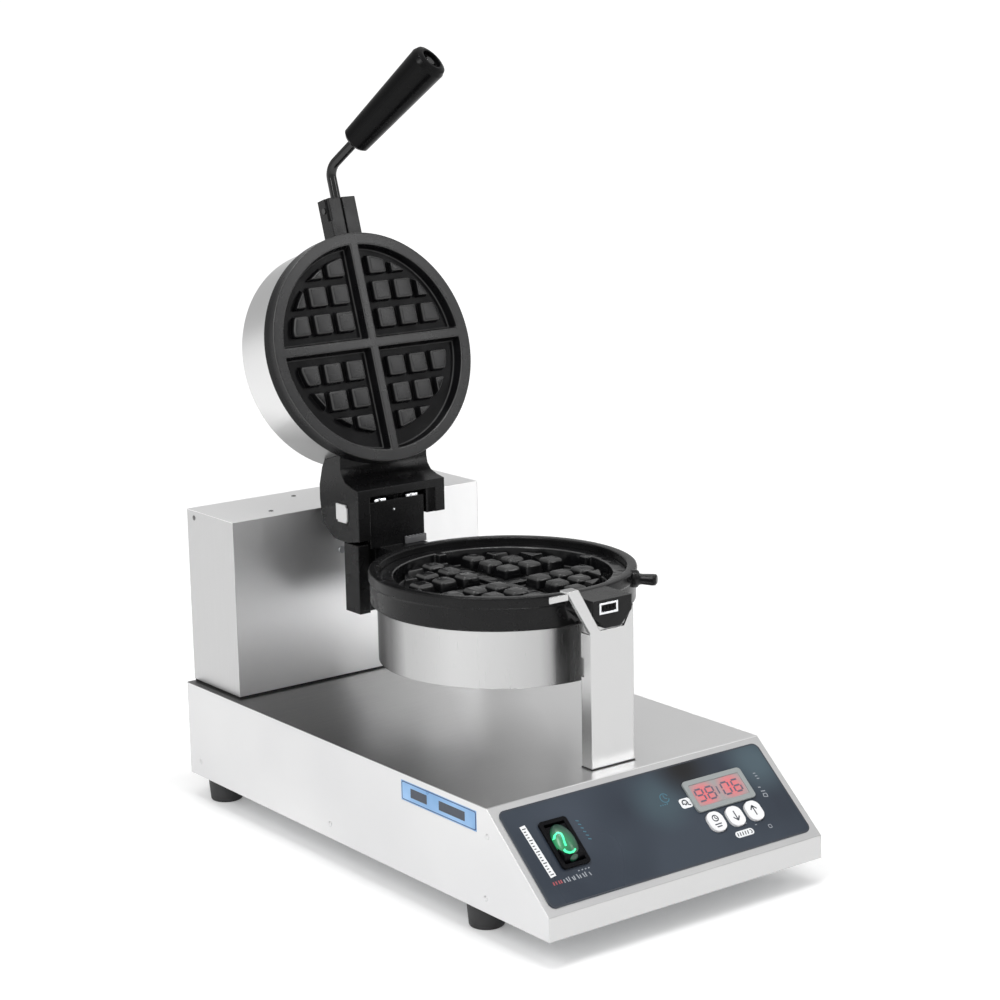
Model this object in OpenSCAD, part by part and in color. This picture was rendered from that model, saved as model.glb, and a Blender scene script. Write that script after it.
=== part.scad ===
// Rotary waffle maker: a round iron that opens on a rear hinge and turns over on a shaft.
// +Z is up and +X is to the right. The control panel faces -Y. Z = 0 is the underside of the feet.

/* [Base] */
// Width of the base across its sides
base_w = 250; // [244:1:280]
// Length of the base, from front lip to rear wall
base_l = 470; // [450:1:520]
// Height of the base, from its underside to the deck
base_h = 76; // [70:1:90]
// Length of the sloped front, seen from above
slope_run = 68; // [64:1:76]
// Height of the upright lip below the slope
lip_h = 17; // [12:1:22]
// Thickness of the folded stainless sheet
sheet_t = 1.5; // [1:0.1:2]
// Height of the rubber feet
foot_h = 20; // [14:1:30]
// Radius of the upper tier of a foot
foot_r = 12; // [10:0.5:15]
// Distance from the base's edges to a foot's centre, sideways
foot_inset_x = 18; // [16:1:26]
// Distance from the rear wall to the rear feet
foot_inset_rear = 24; // [18:1:34]
// Distance from the front lip to the front feet
foot_inset_front = 94; // [80:1:110]

/* [Column] */
// Width of the column
column_w = 236; // [220:1:240]
// Depth of the column
column_d = 70; // [64:1:90]
// Height of the column above its seal
column_h = 140.5; // [138:0.5:160]
// Thickness of the rubber seal under the column
seal_t = 1.5; // [1:0.1:3]

/* [Head] */
// Height of the turning axis above the deck
turn_h = 120; // [118:1:122]
// Distance from the column's front to the middle of the pans
pan_setback = 190; // [186:1:200]
// Distance from the column's front to the lid's hinge pin
hinge_setback = 54; // [52:1:58]
// Height of the hinge pin above the plates' meeting face
hinge_rise = 17; // [16:0.5:18]
// Angle between the open lid and the closed one
lid_open = 107.5; // [95:0.5:107.5]
// Height by which the meeting face lies under the turning axis
parting_drop = 1; // [0:0.5:2]

/* [Pans] */
// Radius of the upper waffle plate
plate_r = 90; // [88:1:92]
// Thickness of a waffle plate
plate_t = 15; // [14:0.5:17]
// Depth of the batter pocket
pocket_d = 12; // [10:0.5:12]
// Radius of the batter pocket
pocket_r = 81; // [79:1:83]
// Width of the bars that quarter the waffle
bar_w = 9.5; // [8:0.5:11]
// Spacing of the pegs
peg_pitch = 22; // [20:0.5:23]
// Distance from the middle of the plate to the first peg
peg_first = 18; // [16:0.5:19]
// Width of a peg at its foot
peg_base = 15.5; // [14:0.5:16]
// Width of a peg at its top
peg_top = 12.5; // [11:0.5:13.5]
// Height of a peg
peg_h = 9; // [7:0.5:9.5]
// Radius of the field of pegs
peg_field_r = 72; // [70:1:76]
// Gap between the upper plate and the lower rim around it
rim_gap = 2; // [1.5:0.1:3]
// Thickness of the lower rim's wall
rim_t = 8; // [6:0.5:9]
// Height of the lower rim
rim_h = 25; // [23:0.5:28]
// Height of the rim above the plates' meeting face
rim_over = 5; // [4:0.5:6]
// Height of the lower pan's steel shell
lower_shell_h = 43; // [40:1:45]
// Height of the lid's steel shell
lid_shell_h = 38.5; // [34:1:40]
// Distance by which a steel shell stands in from its plate or rim
shell_inset = 1.5; // [1:0.5:3]
// Thickness of the pans' steel shells
shell_t = 1; // [0.8:0.1:1.5]
// Radius of the heater's ring
heater_ring_r = 62; // [56:1:70]
// Radius of the heater's tube
heater_r = 4; // [3:0.5:5]
// Thickness of the insulation discs
insulation_t = 18; // [12:1:20]

/* [Shaft] */
// Radius of the hollow shaft
shaft_r = 12; // [10:0.5:12.5]
// Radius of the wire way through the shaft
wire_way_r = 8; // [5:0.5:8.5]
// Wall of the bushes
bush_t = 3; // [2:0.5:3.5]
// Radial running clearance of shafts and pins
running = 0.05; // [0.02:0.01:0.08]
// Radius of the hinge pin
pin_r = 2.5; // [2:0.25:3]

/* [Front rest] */
// Distance from the middle of the pans to the rest's front face
rest_reach = 127; // [125:1:132]
// Width of the rest
rest_w = 39; // [37:1:42]
// Depth of the rest's side flanges
rest_d = 11; // [8:1:12]
// Radius of the round front journal on the lower pan
journal_r = 18.4; // [17.5:0.1:19]
// Clearance between the journal and the notch of the rest
journal_gap = 0.3; // [0.2:0.05:0.6]

/* [Handle] */
// Width of the handle's block
block_w = 26; // [22:1:30]
// Distance from the middle of the lid to the end of the block
block_reach = 121; // [117:1:122]
// Radius of the handle's rod
rod_r = 4; // [3.5:0.25:5]
// Straight length of the rod beyond the block
rod_straight = 16.5; // [14:1:24]
// Radius of the rod's bend
rod_bend_r = 13; // [11:1:18]
// Angle of the rod's bend
rod_bend_a = 64; // [50:1:66]
// Length of the rod from the bend to the grip
rod_tail = 24; // [22:1:32]
// Turn of the bent rod towards the right
rod_turn = 21; // [10:1:28]
// Length of the grip
grip_l = 95; // [90:1:104]
// Radius of the grip at the rod
grip_r1 = 11.5; // [10:0.5:13]
// Radius of the grip at its outer end
grip_r2 = 15; // [13:0.5:17]

/* [Panel] */
// Thickness of the control panel
panel_t = 0.8; // [0.5:0.1:1.2]
// Margin between the control panel and the slope's edges
panel_margin = 5.5; // [4:0.5:7]
// Place of the switch, from the middle of the panel
switch_x = -83; // [-90:1:-70]
// Distance of the switch from the slope's top edge
switch_s = 41; // [38:1:46]
// Place of the display, from the middle of the panel
display_x = 62.75; // [50:0.25:70]
// Distance of the display from the slope's top edge
display_s = 34.5; // [32:0.5:38]
// Width of the display's bezel
display_w = 55.5; // [50:0.5:60]
// Height of the display's bezel
display_h = 26; // [24:0.5:28]
// Spacing of the three buttons
button_pitch = 18; // [17:0.5:20]
// Width of a button
button_w = 14; // [12:0.5:15]
// Height of a button
button_h = 16; // [14:0.5:17]
// Travel of a button
button_travel = 1; // [0.5:0.1:1.2]
// Length of the coloured label on the left side
label_l = 90; // [80:1:100]
// Height of the coloured label on the left side
label_h = 15; // [12:1:18]
// Length by which the cord gland stands out behind the base
gland_out = 20; // [16:1:24]

/* [Fits] */
// Clearance around a fixed part in its opening
fit_gap = 0.3; // [0.2:0.05:0.5]
// Gap between the closed plates
plate_gap = 0.5; // [0.3:0.1:1]

/* [Hidden] */
$fn = 64;
eps = 1;

// Levels and stations that the other sizes follow
deck_z = foot_h + base_h;
rear_y = (base_l - gland_out) / 2;
front_y = rear_y - base_l;
slope_y = front_y + slope_run;
slope_a = atan2(base_h - lip_h, slope_run);
slope_len = norm([base_h - lip_h, slope_run]);
column_y = rear_y - column_d;
column_z = deck_z + seal_t;
column_top = column_z + column_h;
axis_z = deck_z + turn_h;
parting_z = axis_z - parting_drop;
pan_y = column_y - pan_setback;
hinge_y = column_y - hinge_setback;
hinge_z = parting_z + hinge_rise;

// Lower pan
lip_r = plate_r + rim_gap;
rim_r = lip_r + rim_t;
rim_top = parting_z + rim_over;
rim_z = rim_top - rim_h;
lower_plate_z = parting_z - plate_gap - plate_t;
ledge_r = lip_r - 8;
lower_shell_r = lip_r + 2;
lower_shell_z = rim_z - lower_shell_h;

// Lid, with the lid closed
lid_back_z = parting_z + plate_t;
lid_shell_r = plate_r - shell_inset;
block_z = rim_top + 0.5;
block_top = parting_z + 20;
rod_z = (block_z + block_top) / 2;

// Hinge: sizes measured from the pin
cheek_x = 41;
window_left = -30;
window_right = 32;
sweep_r = 23.5;
leaf_front = -4.5;
leaf_rear = 12;
leaf_left = -29;
leaf_right = 22;
leaf_up = 18;
housing_left = -29.8;
housing_right = 24;
housing_front = 3;
housing_rear = 17;
housing_top = hinge_z - 15;
housing_z = hinge_z - 70;
arm_top = hinge_z - 19;
arm_half = 20;
duct_left = -40;
duct_gap = 0.2;
duct_front = -3;
duct_wall = 2;
shaft_room = 9;
lug_left = 24.5;
lug_r = 6;
pin_left = -38;
pin_right = 31;
cover_edge = [
    [12.4, -2.9], [10.6, 14], [4.6, 30.9], [-3, 38], [-10.6, 42.3], [-20, 42.6], [-29.6, 40.8],
    [-39.8, 37.4], [-52, 29], [-62, 18], [-62, -2], [-47, 3], [-41, 3.4], [-35, 0.5], [-30, -6.5],
    [-25.7, -14.9]
];

// Front rest
rest_front = pan_y - rest_reach;
notch_r = journal_r + journal_gap;
notch_z = axis_z - notch_r;
notch_half = 11;
arm_slope = 0.581;
arm_rise = 32.7;
arm_strip = 10;
arm_return = 3.5;
arm_tab = 8;
arm_lip = 15;
arm_lip_h = 4.5;
block_front = rest_front - 1.5;

// Shaft line
front_bearing_t = 12;
rear_bearing_y = column_y + 40;
rear_bearing_t = 8;
bearing_half = 22;
bearing_top = column_top - sheet_t - 1;
bush_r = shaft_r + running + bush_t;
bush_flange = 1.5;
shaft_front = hinge_y + housing_front + 2;
shaft_rear = column_y + 60;
collar_y = rear_bearing_y + rear_bearing_t + bush_flange + 0.5;
collar_t = 8;
collar_r = 17;
stop_arm_l = 22;

// Fasteners: shank radius, head radius and head height
m4 = [2, 3.8, 2.2];
m3 = [1.5, 2.8, 1.6];

// Feet
foot_x = base_w / 2 - foot_inset_x;
foot_rear_y = rear_y - foot_inset_rear;
foot_front_y = front_y + foot_inset_front;
foot_sole_r = foot_r - 2.8;
foot_recess_r = 5;
foot_recess_h = 6;

// Panel
switch_w = 24;
switch_h = 38;
switch_rim = 3;
switch_deep = 24;
switch_proud = 2;
rocker_gap = 0.4;
rocker_tilt = 8;
rocker_depth = 9;
button_s = display_s + display_h / 2 + 2.2 + button_h / 2;
button_proud = 1.8;
board_depth = 15;
board_t = 1.6;
board_w = 74;
board_h = 56;
board_x = display_x;
board_s = 44;
floor_gap = 0.2;
label_y = slope_y + 11;
label_z = deck_z - 5 - label_h;
label_t = 0.6;
gland_x = -80;
gland_z = foot_h + 30;

// ---- Shapes that several parts share ----

// A screw whose head stands on z = 0 with its shank going down
module screw(size, length) {
    union() {
        cylinder(r = size[1], h = size[2]);
        translate([0, 0, -length]) cylinder(r = size[0], h = length + 0.01);
    }
}

// A prism along X, from x0 to x1, with its outline given in Y and Z
module across(x0, x1) {
    translate([x0, 0, 0]) rotate([90, 0, 90]) linear_extrude(x1 - x0) children();
}

// A box given by its low and high corners
module block(low, high) {
    translate(low) cube(high - low);
}

// A rod along Y
module rod_y(r, y0, y1) {
    translate([0, y1, 0]) rotate([90, 0, 0]) cylinder(r = r, h = y1 - y0);
}

// A rod along X
module rod_x(r, x0, x1) {
    translate([x0, 0, 0]) rotate([0, 90, 0]) cylinder(r = r, h = x1 - x0);
}

// Places a shape on the slope: x from the middle, s down from the top edge, Z out of the sheet
module on_slope(x, s) {
    translate([x, slope_y, deck_z]) rotate([slope_a, 0, 0]) translate([0, -s, 0]) children();
}

// Places a shape of the closed lid where the open lid carries it
module lid_pose() {
    translate([0, hinge_y, hinge_z]) rotate([-lid_open, 0, 0])
        translate([0, -hinge_y, -hinge_z]) children();
}

// A rectangle with round corners
module round_rect(w, h, r) {
    union() {
        square([w - 2 * r, h], center = true);
        square([w, h - 2 * r], center = true);
        for (i = [-1, 1], j = [-1, 1])
            translate([i * (w / 2 - r), j * (h / 2 - r)]) circle(r = r);
    }
}

// ---- Base ----

// Height of the slope's sheet at y, measured d under its face
function slope_z(y, d) = deck_z + (y - slope_y) * tan(slope_a) - d / cos(slope_a);

// The base's side outline, t inside its sheet, with its underside at z
module base_outline(t, z) {
    polygon([
        [rear_y - t, z], [rear_y - t, deck_z - t], [slope_y + t * tan(slope_a / 2), deck_z - t],
        [front_y + t, slope_z(front_y + t, t)], [front_y + t, z]
    ]);
}

module panel_openings(h) {
    on_slope(switch_x, switch_s)
        translate([0, 0, -h]) linear_extrude(2 * h)
            square([switch_w - 2 * switch_rim + 2, switch_h - 2 * switch_rim + 2] + [fit_gap, fit_gap],
                center = true);
    on_slope(display_x, display_s)
        translate([0, 0, -h]) linear_extrude(2 * h)
            square([display_w - 8 + fit_gap, display_h - 8 + fit_gap], center = true);
    for (i = [-1 : 1])
        on_slope(display_x + i * button_pitch, button_s)
            translate([0, 0, -h]) linear_extrude(2 * h)
                round_rect(button_w + 2 * fit_gap, button_h + 2 * fit_gap, button_w / 2 - 1);
}

column_bolt_at = [for (i = [-1, 1], j = [0, 1])
    [i * (column_w / 2 - 15), column_y + 9 + j * (column_d - 18)]];
rest_screw_at = [for (i = [-1, 1]) [i * (rest_w / 2 - 8), rest_front + rest_d - 4]];
rear_bearing_foot = 14;
rear_bearing_screw_at = [for (i = [-1, 1]) [i * (bearing_half - 6), rear_bearing_y - 7]];
spacer_at = [for (i = [-1, 1], j = [-1, 1]) [i * (board_w / 2 - 4), j * (board_h / 2 - 4)]];

module base_shell() {
    color([0.82, 0.83, 0.84])
    difference() {
        across(-base_w / 2, base_w / 2) base_outline(0, foot_h);
        across(-base_w / 2 + sheet_t, base_w / 2 - sheet_t) base_outline(sheet_t, foot_h - eps);
        intersection() {
            panel_openings(10);
            block([-base_w / 2, front_y, foot_h], [base_w / 2, slope_y, deck_z + eps]);
        }
        for (p = concat(column_bolt_at, rest_screw_at, rear_bearing_screw_at))
            translate([p[0], p[1], deck_z - 2 * sheet_t]) cylinder(r = m4[0], h = 4 * sheet_t);
        translate([0, column_y + column_d / 2 - 14, deck_z - 2 * sheet_t])
            cylinder(r = wire_way_r, h = 4 * sheet_t);
        translate([gland_x, 0, gland_z]) rod_y(gland_r, rear_y - 2 * sheet_t, rear_y + eps);
        block([-base_w / 2 - eps, label_y, label_z],
            [-base_w / 2 + label_t, label_y + label_l, label_z + label_h]);
    }
}

floor_screw_at = [for (i = [-1, 1], y = [front_y + 24, (foot_front_y + foot_rear_y) / 2, rear_y - 8])
    [i * (base_w / 2 - 9), y]];
foot_at = [[-foot_x, foot_front_y], [foot_x, foot_front_y], [-foot_x, foot_rear_y],
    [foot_x, foot_rear_y]];
vent_at = [for (i = [-3 : 3]) i * 12];

// Bottom plate with turned-up tabs that the screws bite into
module base_floor() {
    inner = base_w / 2 - sheet_t - floor_gap;
    color([0.7, 0.71, 0.72])
    difference() {
        block([-inner, front_y + sheet_t + floor_gap, foot_h],
            [inner, rear_y - sheet_t - floor_gap, foot_h + sheet_t]);
        for (p = foot_at)
            translate([p[0], p[1], foot_h - eps]) cylinder(r = m4[0], h = sheet_t + 2 * eps);
        for (p = floor_screw_at)
            translate([p[0], p[1], foot_h - eps]) cylinder(r = m3[0], h = sheet_t + 2 * eps);
        for (x = vent_at)
            translate([x, 20, foot_h - eps]) linear_extrude(sheet_t + 2 * eps) round_rect(5, 60, 2.4);
    }
}

// Six screws in threaded clips that stand on the bottom plate
module floor_screws() {
    color([0.75, 0.75, 0.76])
    for (p = floor_screw_at) translate([p[0], p[1], 0]) {
        translate([0, 0, foot_h]) rotate([180, 0, 0]) screw(m3, 8);
        translate([0, 0, foot_h + sheet_t]) difference() {
            cylinder(r = 4, h = 4);
            translate([0, 0, -eps]) cylinder(r = m3[0], h = 4 + 2 * eps);
        }
    }
}

// Two-tier rubber foot with a pocket for its screw
module foot(p) {
    color([0.06, 0.06, 0.06])
    translate([p[0], p[1], 0]) difference() {
        rotate_extrude() polygon([
            [0, 0], [foot_sole_r - 1, 0], [foot_sole_r, 1], [foot_sole_r, foot_h / 2],
            [foot_r - 0.8, foot_h / 2], [foot_r, foot_h / 2 + 0.8], [foot_r, foot_h], [0, foot_h]
        ]);
        translate([0, 0, -eps]) cylinder(r = m4[0], h = foot_h + 2 * eps);
        translate([0, 0, -eps]) cylinder(r = foot_recess_r, h = foot_recess_h + eps);
    }
}
module front_left_foot() { foot(foot_at[0]); }
module front_right_foot() { foot(foot_at[1]); }
module rear_left_foot() { foot(foot_at[2]); }
module rear_right_foot() { foot(foot_at[3]); }

module foot_screws() {
    color([0.75, 0.75, 0.76])
    for (p = foot_at) translate([p[0], p[1], 0]) {
        translate([0, 0, foot_recess_h]) rotate([180, 0, 0])
            screw(m4, foot_h - foot_recess_h + sheet_t + 4);
        translate([0, 0, foot_h + sheet_t]) difference() {
            cylinder(r = m4[1], h = 3.2, $fn = 6);
            translate([0, 0, -eps]) cylinder(r = m4[0], h = 5);
        }
    }
}

module side_label() {
    color([0.35, 0.6, 0.85])
    block([-base_w / 2, label_y, label_z], [-base_w / 2 + label_t, label_y + label_l, label_z + label_h]);
}

// ---- Column ----

flange_w = 20;

module column_seal() {
    color([0.05, 0.05, 0.05])
    difference() {
        block([-column_w / 2 + 0.5, column_y + 0.5, deck_z], [column_w / 2 - 0.5, rear_y - 0.5, column_z]);
        block([-column_w / 2 + flange_w, column_y + flange_w, deck_z - eps],
            [column_w / 2 - flange_w, rear_y - flange_w, column_z + eps]);
        for (p = column_bolt_at)
            translate([p[0], p[1], deck_z - eps]) cylinder(r = m4[0], h = seal_t + 2 * eps);
    }
}

back_screw_at = [for (i = [-1, 1], j = [0, 1])
    [i * (column_w / 2 - 8), column_z + 12 + j * (column_h - 24)]];
bearing_screw_at = [for (i = [-1, 1], j = [-1, 1]) [i * (bearing_half - 4), j * 15]];

// Front, sides and top in one folded sheet, with flanges at the foot and at the rear
module column_shell() {
    color([0.82, 0.83, 0.84])
    difference() {
        block([-column_w / 2, column_y, column_z], [column_w / 2, rear_y, column_top]);
        difference() {
            block([-column_w / 2 + sheet_t, column_y + sheet_t, column_z - eps],
                [column_w / 2 - sheet_t, rear_y + eps, column_top - sheet_t]);
            for (s = [-1, 1]) {
                translate([s * (column_w / 2 - flange_w / 2), (column_y + rear_y) / 2, column_z + sheet_t / 2])
                    cube([flange_w, column_d - 2 * sheet_t - 10, sheet_t], center = true);
                translate([s * (column_w / 2 - flange_w / 2), rear_y - 2.5 * sheet_t, column_z + column_h / 2])
                    cube([flange_w, sheet_t, column_h - 2 * sheet_t], center = true);
            }
        }
        for (p = column_bolt_at)
            translate([p[0], p[1], column_z - eps]) cylinder(r = m4[0], h = sheet_t + 2 * eps);
        translate([0, 0, axis_z]) rod_y(shaft_r + 2, column_y - eps, column_y + 2 * sheet_t);
        for (p = bearing_screw_at)
            translate([p[0], 0, axis_z + p[1]]) rod_y(m3[0], column_y - eps, column_y + 2 * sheet_t);
        for (p = back_screw_at)
            translate([p[0], 0, p[1]]) rod_y(m3[0], rear_y - 4 * sheet_t, rear_y);
    }
}

module column_back() {
    inner = column_w / 2 - sheet_t - floor_gap;
    color([0.8, 0.81, 0.82])
    difference() {
        block([-inner, rear_y - 2 * sheet_t, column_z + floor_gap],
            [inner, rear_y - sheet_t, column_top - sheet_t - floor_gap]);
        for (p = back_screw_at)
            translate([p[0], 0, p[1]]) rod_y(m3[0], rear_y - 3 * sheet_t, rear_y);
        for (i = [-4 : 4])
            translate([i * 14, rear_y - 1.5 * sheet_t, column_z + column_h * 0.62])
                rotate([90, 0, 0]) linear_extrude(2 * sheet_t, center = true) round_rect(5, 46, 2.4);
    }
}

module column_screws() {
    color([0.75, 0.75, 0.76])
    for (p = back_screw_at)
        translate([p[0], rear_y - sheet_t, p[1]]) rotate([-90, 0, 0]) screw([m3[0], m3[1], sheet_t], 5);
}

// Bolts through the column's foot flanges, the seal and the deck, with nuts under the deck
module column_bolts() {
    color([0.75, 0.75, 0.76])
    for (p = column_bolt_at) translate([p[0], p[1], 0]) {
        translate([0, 0, column_z + sheet_t]) screw(m4, 2 * sheet_t + seal_t + 4);
        translate([0, 0, deck_z - sheet_t - 3.2]) difference() {
            cylinder(r = m4[1], h = 3.2, $fn = 6);
            translate([0, 0, -eps]) cylinder(r = m4[0], h = 6);
        }
    }
}

// ---- Shaft line ----

module front_bearing() {
    y0 = column_y + sheet_t;
    color([0.55, 0.56, 0.58])
    difference() {
        block([-bearing_half, y0, axis_z - 21], [bearing_half, y0 + front_bearing_t, bearing_top]);
        translate([0, 0, axis_z]) rod_y(bush_r, y0 - eps, y0 + front_bearing_t + eps);
        for (p = bearing_screw_at)
            translate([p[0], 0, axis_z + p[1]]) rod_y(m3[0], y0 - eps, y0 + 8);
    }
}

module flanged_bush(y, length) {
    color([0.72, 0.55, 0.3])
    translate([0, y, axis_z]) difference() {
        union() {
            rod_y(bush_r, 0, length);
            rod_y(bush_r + 2, length, length + bush_flange);
        }
        rod_y(shaft_r + running, -eps, length + bush_flange + eps);
    }
}
module front_bush() { flanged_bush(column_y + sheet_t, front_bearing_t); }
module rear_bush() { flanged_bush(rear_bearing_y, rear_bearing_t); }

// Upright plate with a foot that is screwed to the deck inside the column
module rear_bearing() {
    color([0.55, 0.56, 0.58])
    difference() {
        union() {
            block([-bearing_half, rear_bearing_y, deck_z],
                [bearing_half, rear_bearing_y + rear_bearing_t, bearing_top]);
            block([-bearing_half, rear_bearing_y - rear_bearing_foot, deck_z],
                [bearing_half, rear_bearing_y, deck_z + 5]);
        }
        translate([0, 0, axis_z])
            rod_y(bush_r, rear_bearing_y - eps, rear_bearing_y + rear_bearing_t + eps);
        for (p = rear_bearing_screw_at)
            translate([p[0], p[1], deck_z - eps]) cylinder(r = m4[0], h = 7);
    }
}

module bearing_screws() {
    color([0.75, 0.75, 0.76]) {
        for (p = bearing_screw_at)
            translate([p[0], column_y, axis_z + p[1]]) rotate([90, 0, 0]) screw([m3[0], m3[1], 1], 9);
        for (p = rear_bearing_screw_at)
            translate([p[0], p[1], deck_z + 5]) screw(m4, 5 + sheet_t + 3);
    }
}

module rotary_shaft() {
    color([0.7, 0.71, 0.73])
    translate([0, 0, axis_z]) difference() {
        rod_y(shaft_r, shaft_front, shaft_rear);
        rod_y(wire_way_r, shaft_front + 4, shaft_rear + eps);
    }
}

// Ring that keeps the shaft in, with the arm that meets the turning stops
module stop_collar() {
    color([0.5, 0.5, 0.52])
    translate([0, 0, axis_z]) difference() {
        union() {
            rod_y(collar_r, collar_y, collar_y + collar_t);
            block([-4, collar_y, -stop_arm_l - 6], [4, collar_y + collar_t, -shaft_r]);
        }
        rod_y(shaft_r, collar_y - eps, collar_y + collar_t + eps);
        translate([0, collar_y + collar_t / 2, shaft_r - eps]) cylinder(r = m3[0], h = 10);
    }
}

// ---- Front rest ----

// Folded post with a notch for the journal and one arm that reaches up past the rim
module front_rest() {
    w = rest_w / 2;
    tip_z = notch_z + arm_rise;
    tip_x = -notch_half - arm_rise * arm_slope;
    arm_x = tip_x - arm_strip;
    foot_of_arm = notch_z - 1;
    color([0.84, 0.85, 0.86])
    difference() {
        union() {
            translate([0, rest_front + sheet_t, 0]) rotate([90, 0, 0]) linear_extrude(sheet_t) polygon([
                [-w, deck_z], [w, deck_z], [w, notch_z + (w - notch_half) / arm_slope], [notch_half, notch_z],
                [-notch_half, notch_z], [tip_x, tip_z], [arm_x, tip_z], [-w, foot_of_arm]
            ]);
            translate([0, rest_front + arm_return, 0]) rotate([90, 0, 0]) linear_extrude(arm_return) polygon([
                [-w, foot_of_arm], [-w + sheet_t, foot_of_arm], [arm_x + sheet_t, tip_z], [arm_x, tip_z]
            ]);
            for (s = [-1, 1])
                translate([s * (w - sheet_t / 2), rest_front + rest_d / 2, (deck_z + foot_of_arm - 1) / 2])
                    cube([sheet_t, rest_d, foot_of_arm - 1 - deck_z], center = true);
            block([-w, rest_front, deck_z], [w, rest_front + rest_d, deck_z + sheet_t]);
            block([arm_x, rest_front, tip_z - sheet_t], [tip_x, rest_front + arm_tab, tip_z]);
            block([arm_x - arm_lip, rest_front, tip_z - sheet_t - arm_lip_h],
                [arm_x + 1, rest_front + sheet_t, tip_z - sheet_t]);
        }
        for (p = rest_screw_at)
            translate([p[0], p[1], deck_z - eps]) cylinder(r = m4[0], h = sheet_t + 2 * eps);
        translate([-w - eps, rest_front + rest_d - 3, notch_z - 34]) cube([sheet_t + 2 * eps, 4, 14]);
    }
}

module rest_screws() {
    color([0.75, 0.75, 0.76])
    for (p = rest_screw_at) translate([p[0], p[1], 0]) {
        translate([0, 0, deck_z + sheet_t]) screw([m4[0], 3.4, m4[2]], 2 * sheet_t + 4);
        translate([0, 0, deck_z - sheet_t - 3.2]) difference() {
            cylinder(r = m4[1], h = 3.2, $fn = 6);
            translate([0, 0, -eps]) cylinder(r = m4[0], h = 6);
        }
    }
}

// ---- Control panel ----

panel_w = base_w - 2 * panel_margin;
panel_len = slope_len - 2 * panel_margin;

module control_panel() {
    color([0.25, 0.29, 0.34])
    difference() {
        on_slope(0, slope_len / 2) linear_extrude(panel_t) round_rect(panel_w, panel_len, 5.5);
        panel_openings(4);
    }
}

module display_bezel() {
    color([0.8, 0.8, 0.8])
    on_slope(display_x, display_s) difference() {
        union() {
            translate([0, 0, panel_t]) linear_extrude(1.6) round_rect(display_w, display_h, 3);
            translate([0, 0, -4]) linear_extrude(5 + panel_t) square([display_w - 8, display_h - 8], center = true);
        }
        translate([0, 0, panel_t + 0.6]) linear_extrude(4) square([display_w - 8, display_h - 8], center = true);
        translate([0, 0, -5]) linear_extrude(9) square([display_w - 12, display_h - 12], center = true);
    }
}

module display_window() {
    color([0.95, 0.5, 0.5])
    on_slope(display_x, display_s)
        translate([0, 0, panel_t + 0.6]) linear_extrude(0.7)
            square([display_w - 8 - 0.2, display_h - 8 - 0.2], center = true);
}

// Oval cap on a stem that stands on its switch on the board
module button(i) {
    color([0.92, 0.92, 0.92])
    on_slope(display_x + i * button_pitch, button_s) union() {
        translate([0, 0, -4]) linear_extrude(4 + panel_t + button_proud)
            round_rect(button_w, button_h, button_w / 2 - 1);
        translate([0, 0, -board_depth + 4 + button_travel + fit_gap])
            cylinder(r = 2.5, h = board_depth - 8 - button_travel - fit_gap + 0.5);
    }
}
module set_button() { button(-1); }
module down_button() { button(0); }
module up_button() { button(1); }

rocker_w = switch_w - 2 * switch_rim - 2 * rocker_gap;
rocker_half = (switch_h - 2 * switch_rim) / 2 - 1;
pivot_deep = 3.5;

// Frame on the panel and the hollow switch body that hangs behind it
module switch_bezel() {
    in_w = switch_w - 2 * switch_rim;
    in_h = switch_h - 2 * switch_rim;
    color([0.05, 0.05, 0.05])
    on_slope(switch_x, switch_s) difference() {
        union() {
            translate([0, 0, panel_t]) linear_extrude(switch_proud) round_rect(switch_w, switch_h, 2.5);
            translate([0, 0, -switch_deep]) linear_extrude(switch_deep + panel_t + 0.5)
                square([in_w + 2, in_h + 2], center = true);
        }
        translate([0, 0, -switch_deep + 4]) linear_extrude(switch_deep + 10)
            square([in_w, in_h], center = true);
    }
}

// Rocker on its cross pin, lit while its upper end is pressed
module switch_rocker() {
    color([0.1, 0.75, 0.3])
    on_slope(switch_x, switch_s) translate([0, 0, -pivot_deep]) rotate([-rocker_tilt, 0, 0]) union() {
        intersection() {
            rod_x(rocker_half, -rocker_w / 2, rocker_w / 2);
            across(-rocker_w / 2, rocker_w / 2) polygon([
                [-rocker_half, -rocker_depth], [rocker_half, -rocker_depth],
                [rocker_half, 8.3], [0, 5.6], [-rocker_half, 8.3]
            ]);
        }
        rod_x(1.5, -rocker_w / 2 - rocker_gap + 0.05, rocker_w / 2 + rocker_gap - 0.05);
    }
}

// ---- Inside the base ----

module control_board() {
    color([0.1, 0.4, 0.2])
    on_slope(board_x, board_s) difference() {
        union() {
            translate([0, 0, -board_depth]) linear_extrude(board_t)
                square([board_w, board_h], center = true);
            translate([0, board_s - display_s, -board_depth + board_t]) linear_extrude(board_depth - board_t - 4.5)
                square([display_w - 14, display_h - 13], center = true);
            for (i = [-1 : 1])
                translate([i * button_pitch, board_s - button_s, -board_depth + board_t])
                    linear_extrude(4 - board_t) square([6, 6], center = true);
            translate([-board_w / 2 + 14, 4, -board_depth - 9]) cube([16, 12, 9.5], center = false);
        }
        for (p = spacer_at)
            translate([p[0], p[1], -board_depth - eps]) cylinder(r = m3[0], h = board_t + 2 * eps);
    }
}

// Spacers between board and slope sheet, each with its screw
module board_spacers() {
    color([0.85, 0.85, 0.8])
    on_slope(board_x, board_s) for (p = spacer_at) translate([p[0], p[1], 0]) {
        difference() {
            translate([0, 0, -board_depth + board_t]) cylinder(r = 3, h = board_depth - board_t - sheet_t);
            translate([0, 0, -board_depth]) cylinder(r = m3[0], h = board_depth - 4);
        }
        translate([0, 0, -board_depth]) rotate([180, 0, 0]) screw(m3, 8);
    }
}

inside_z = foot_h + sheet_t;

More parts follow.
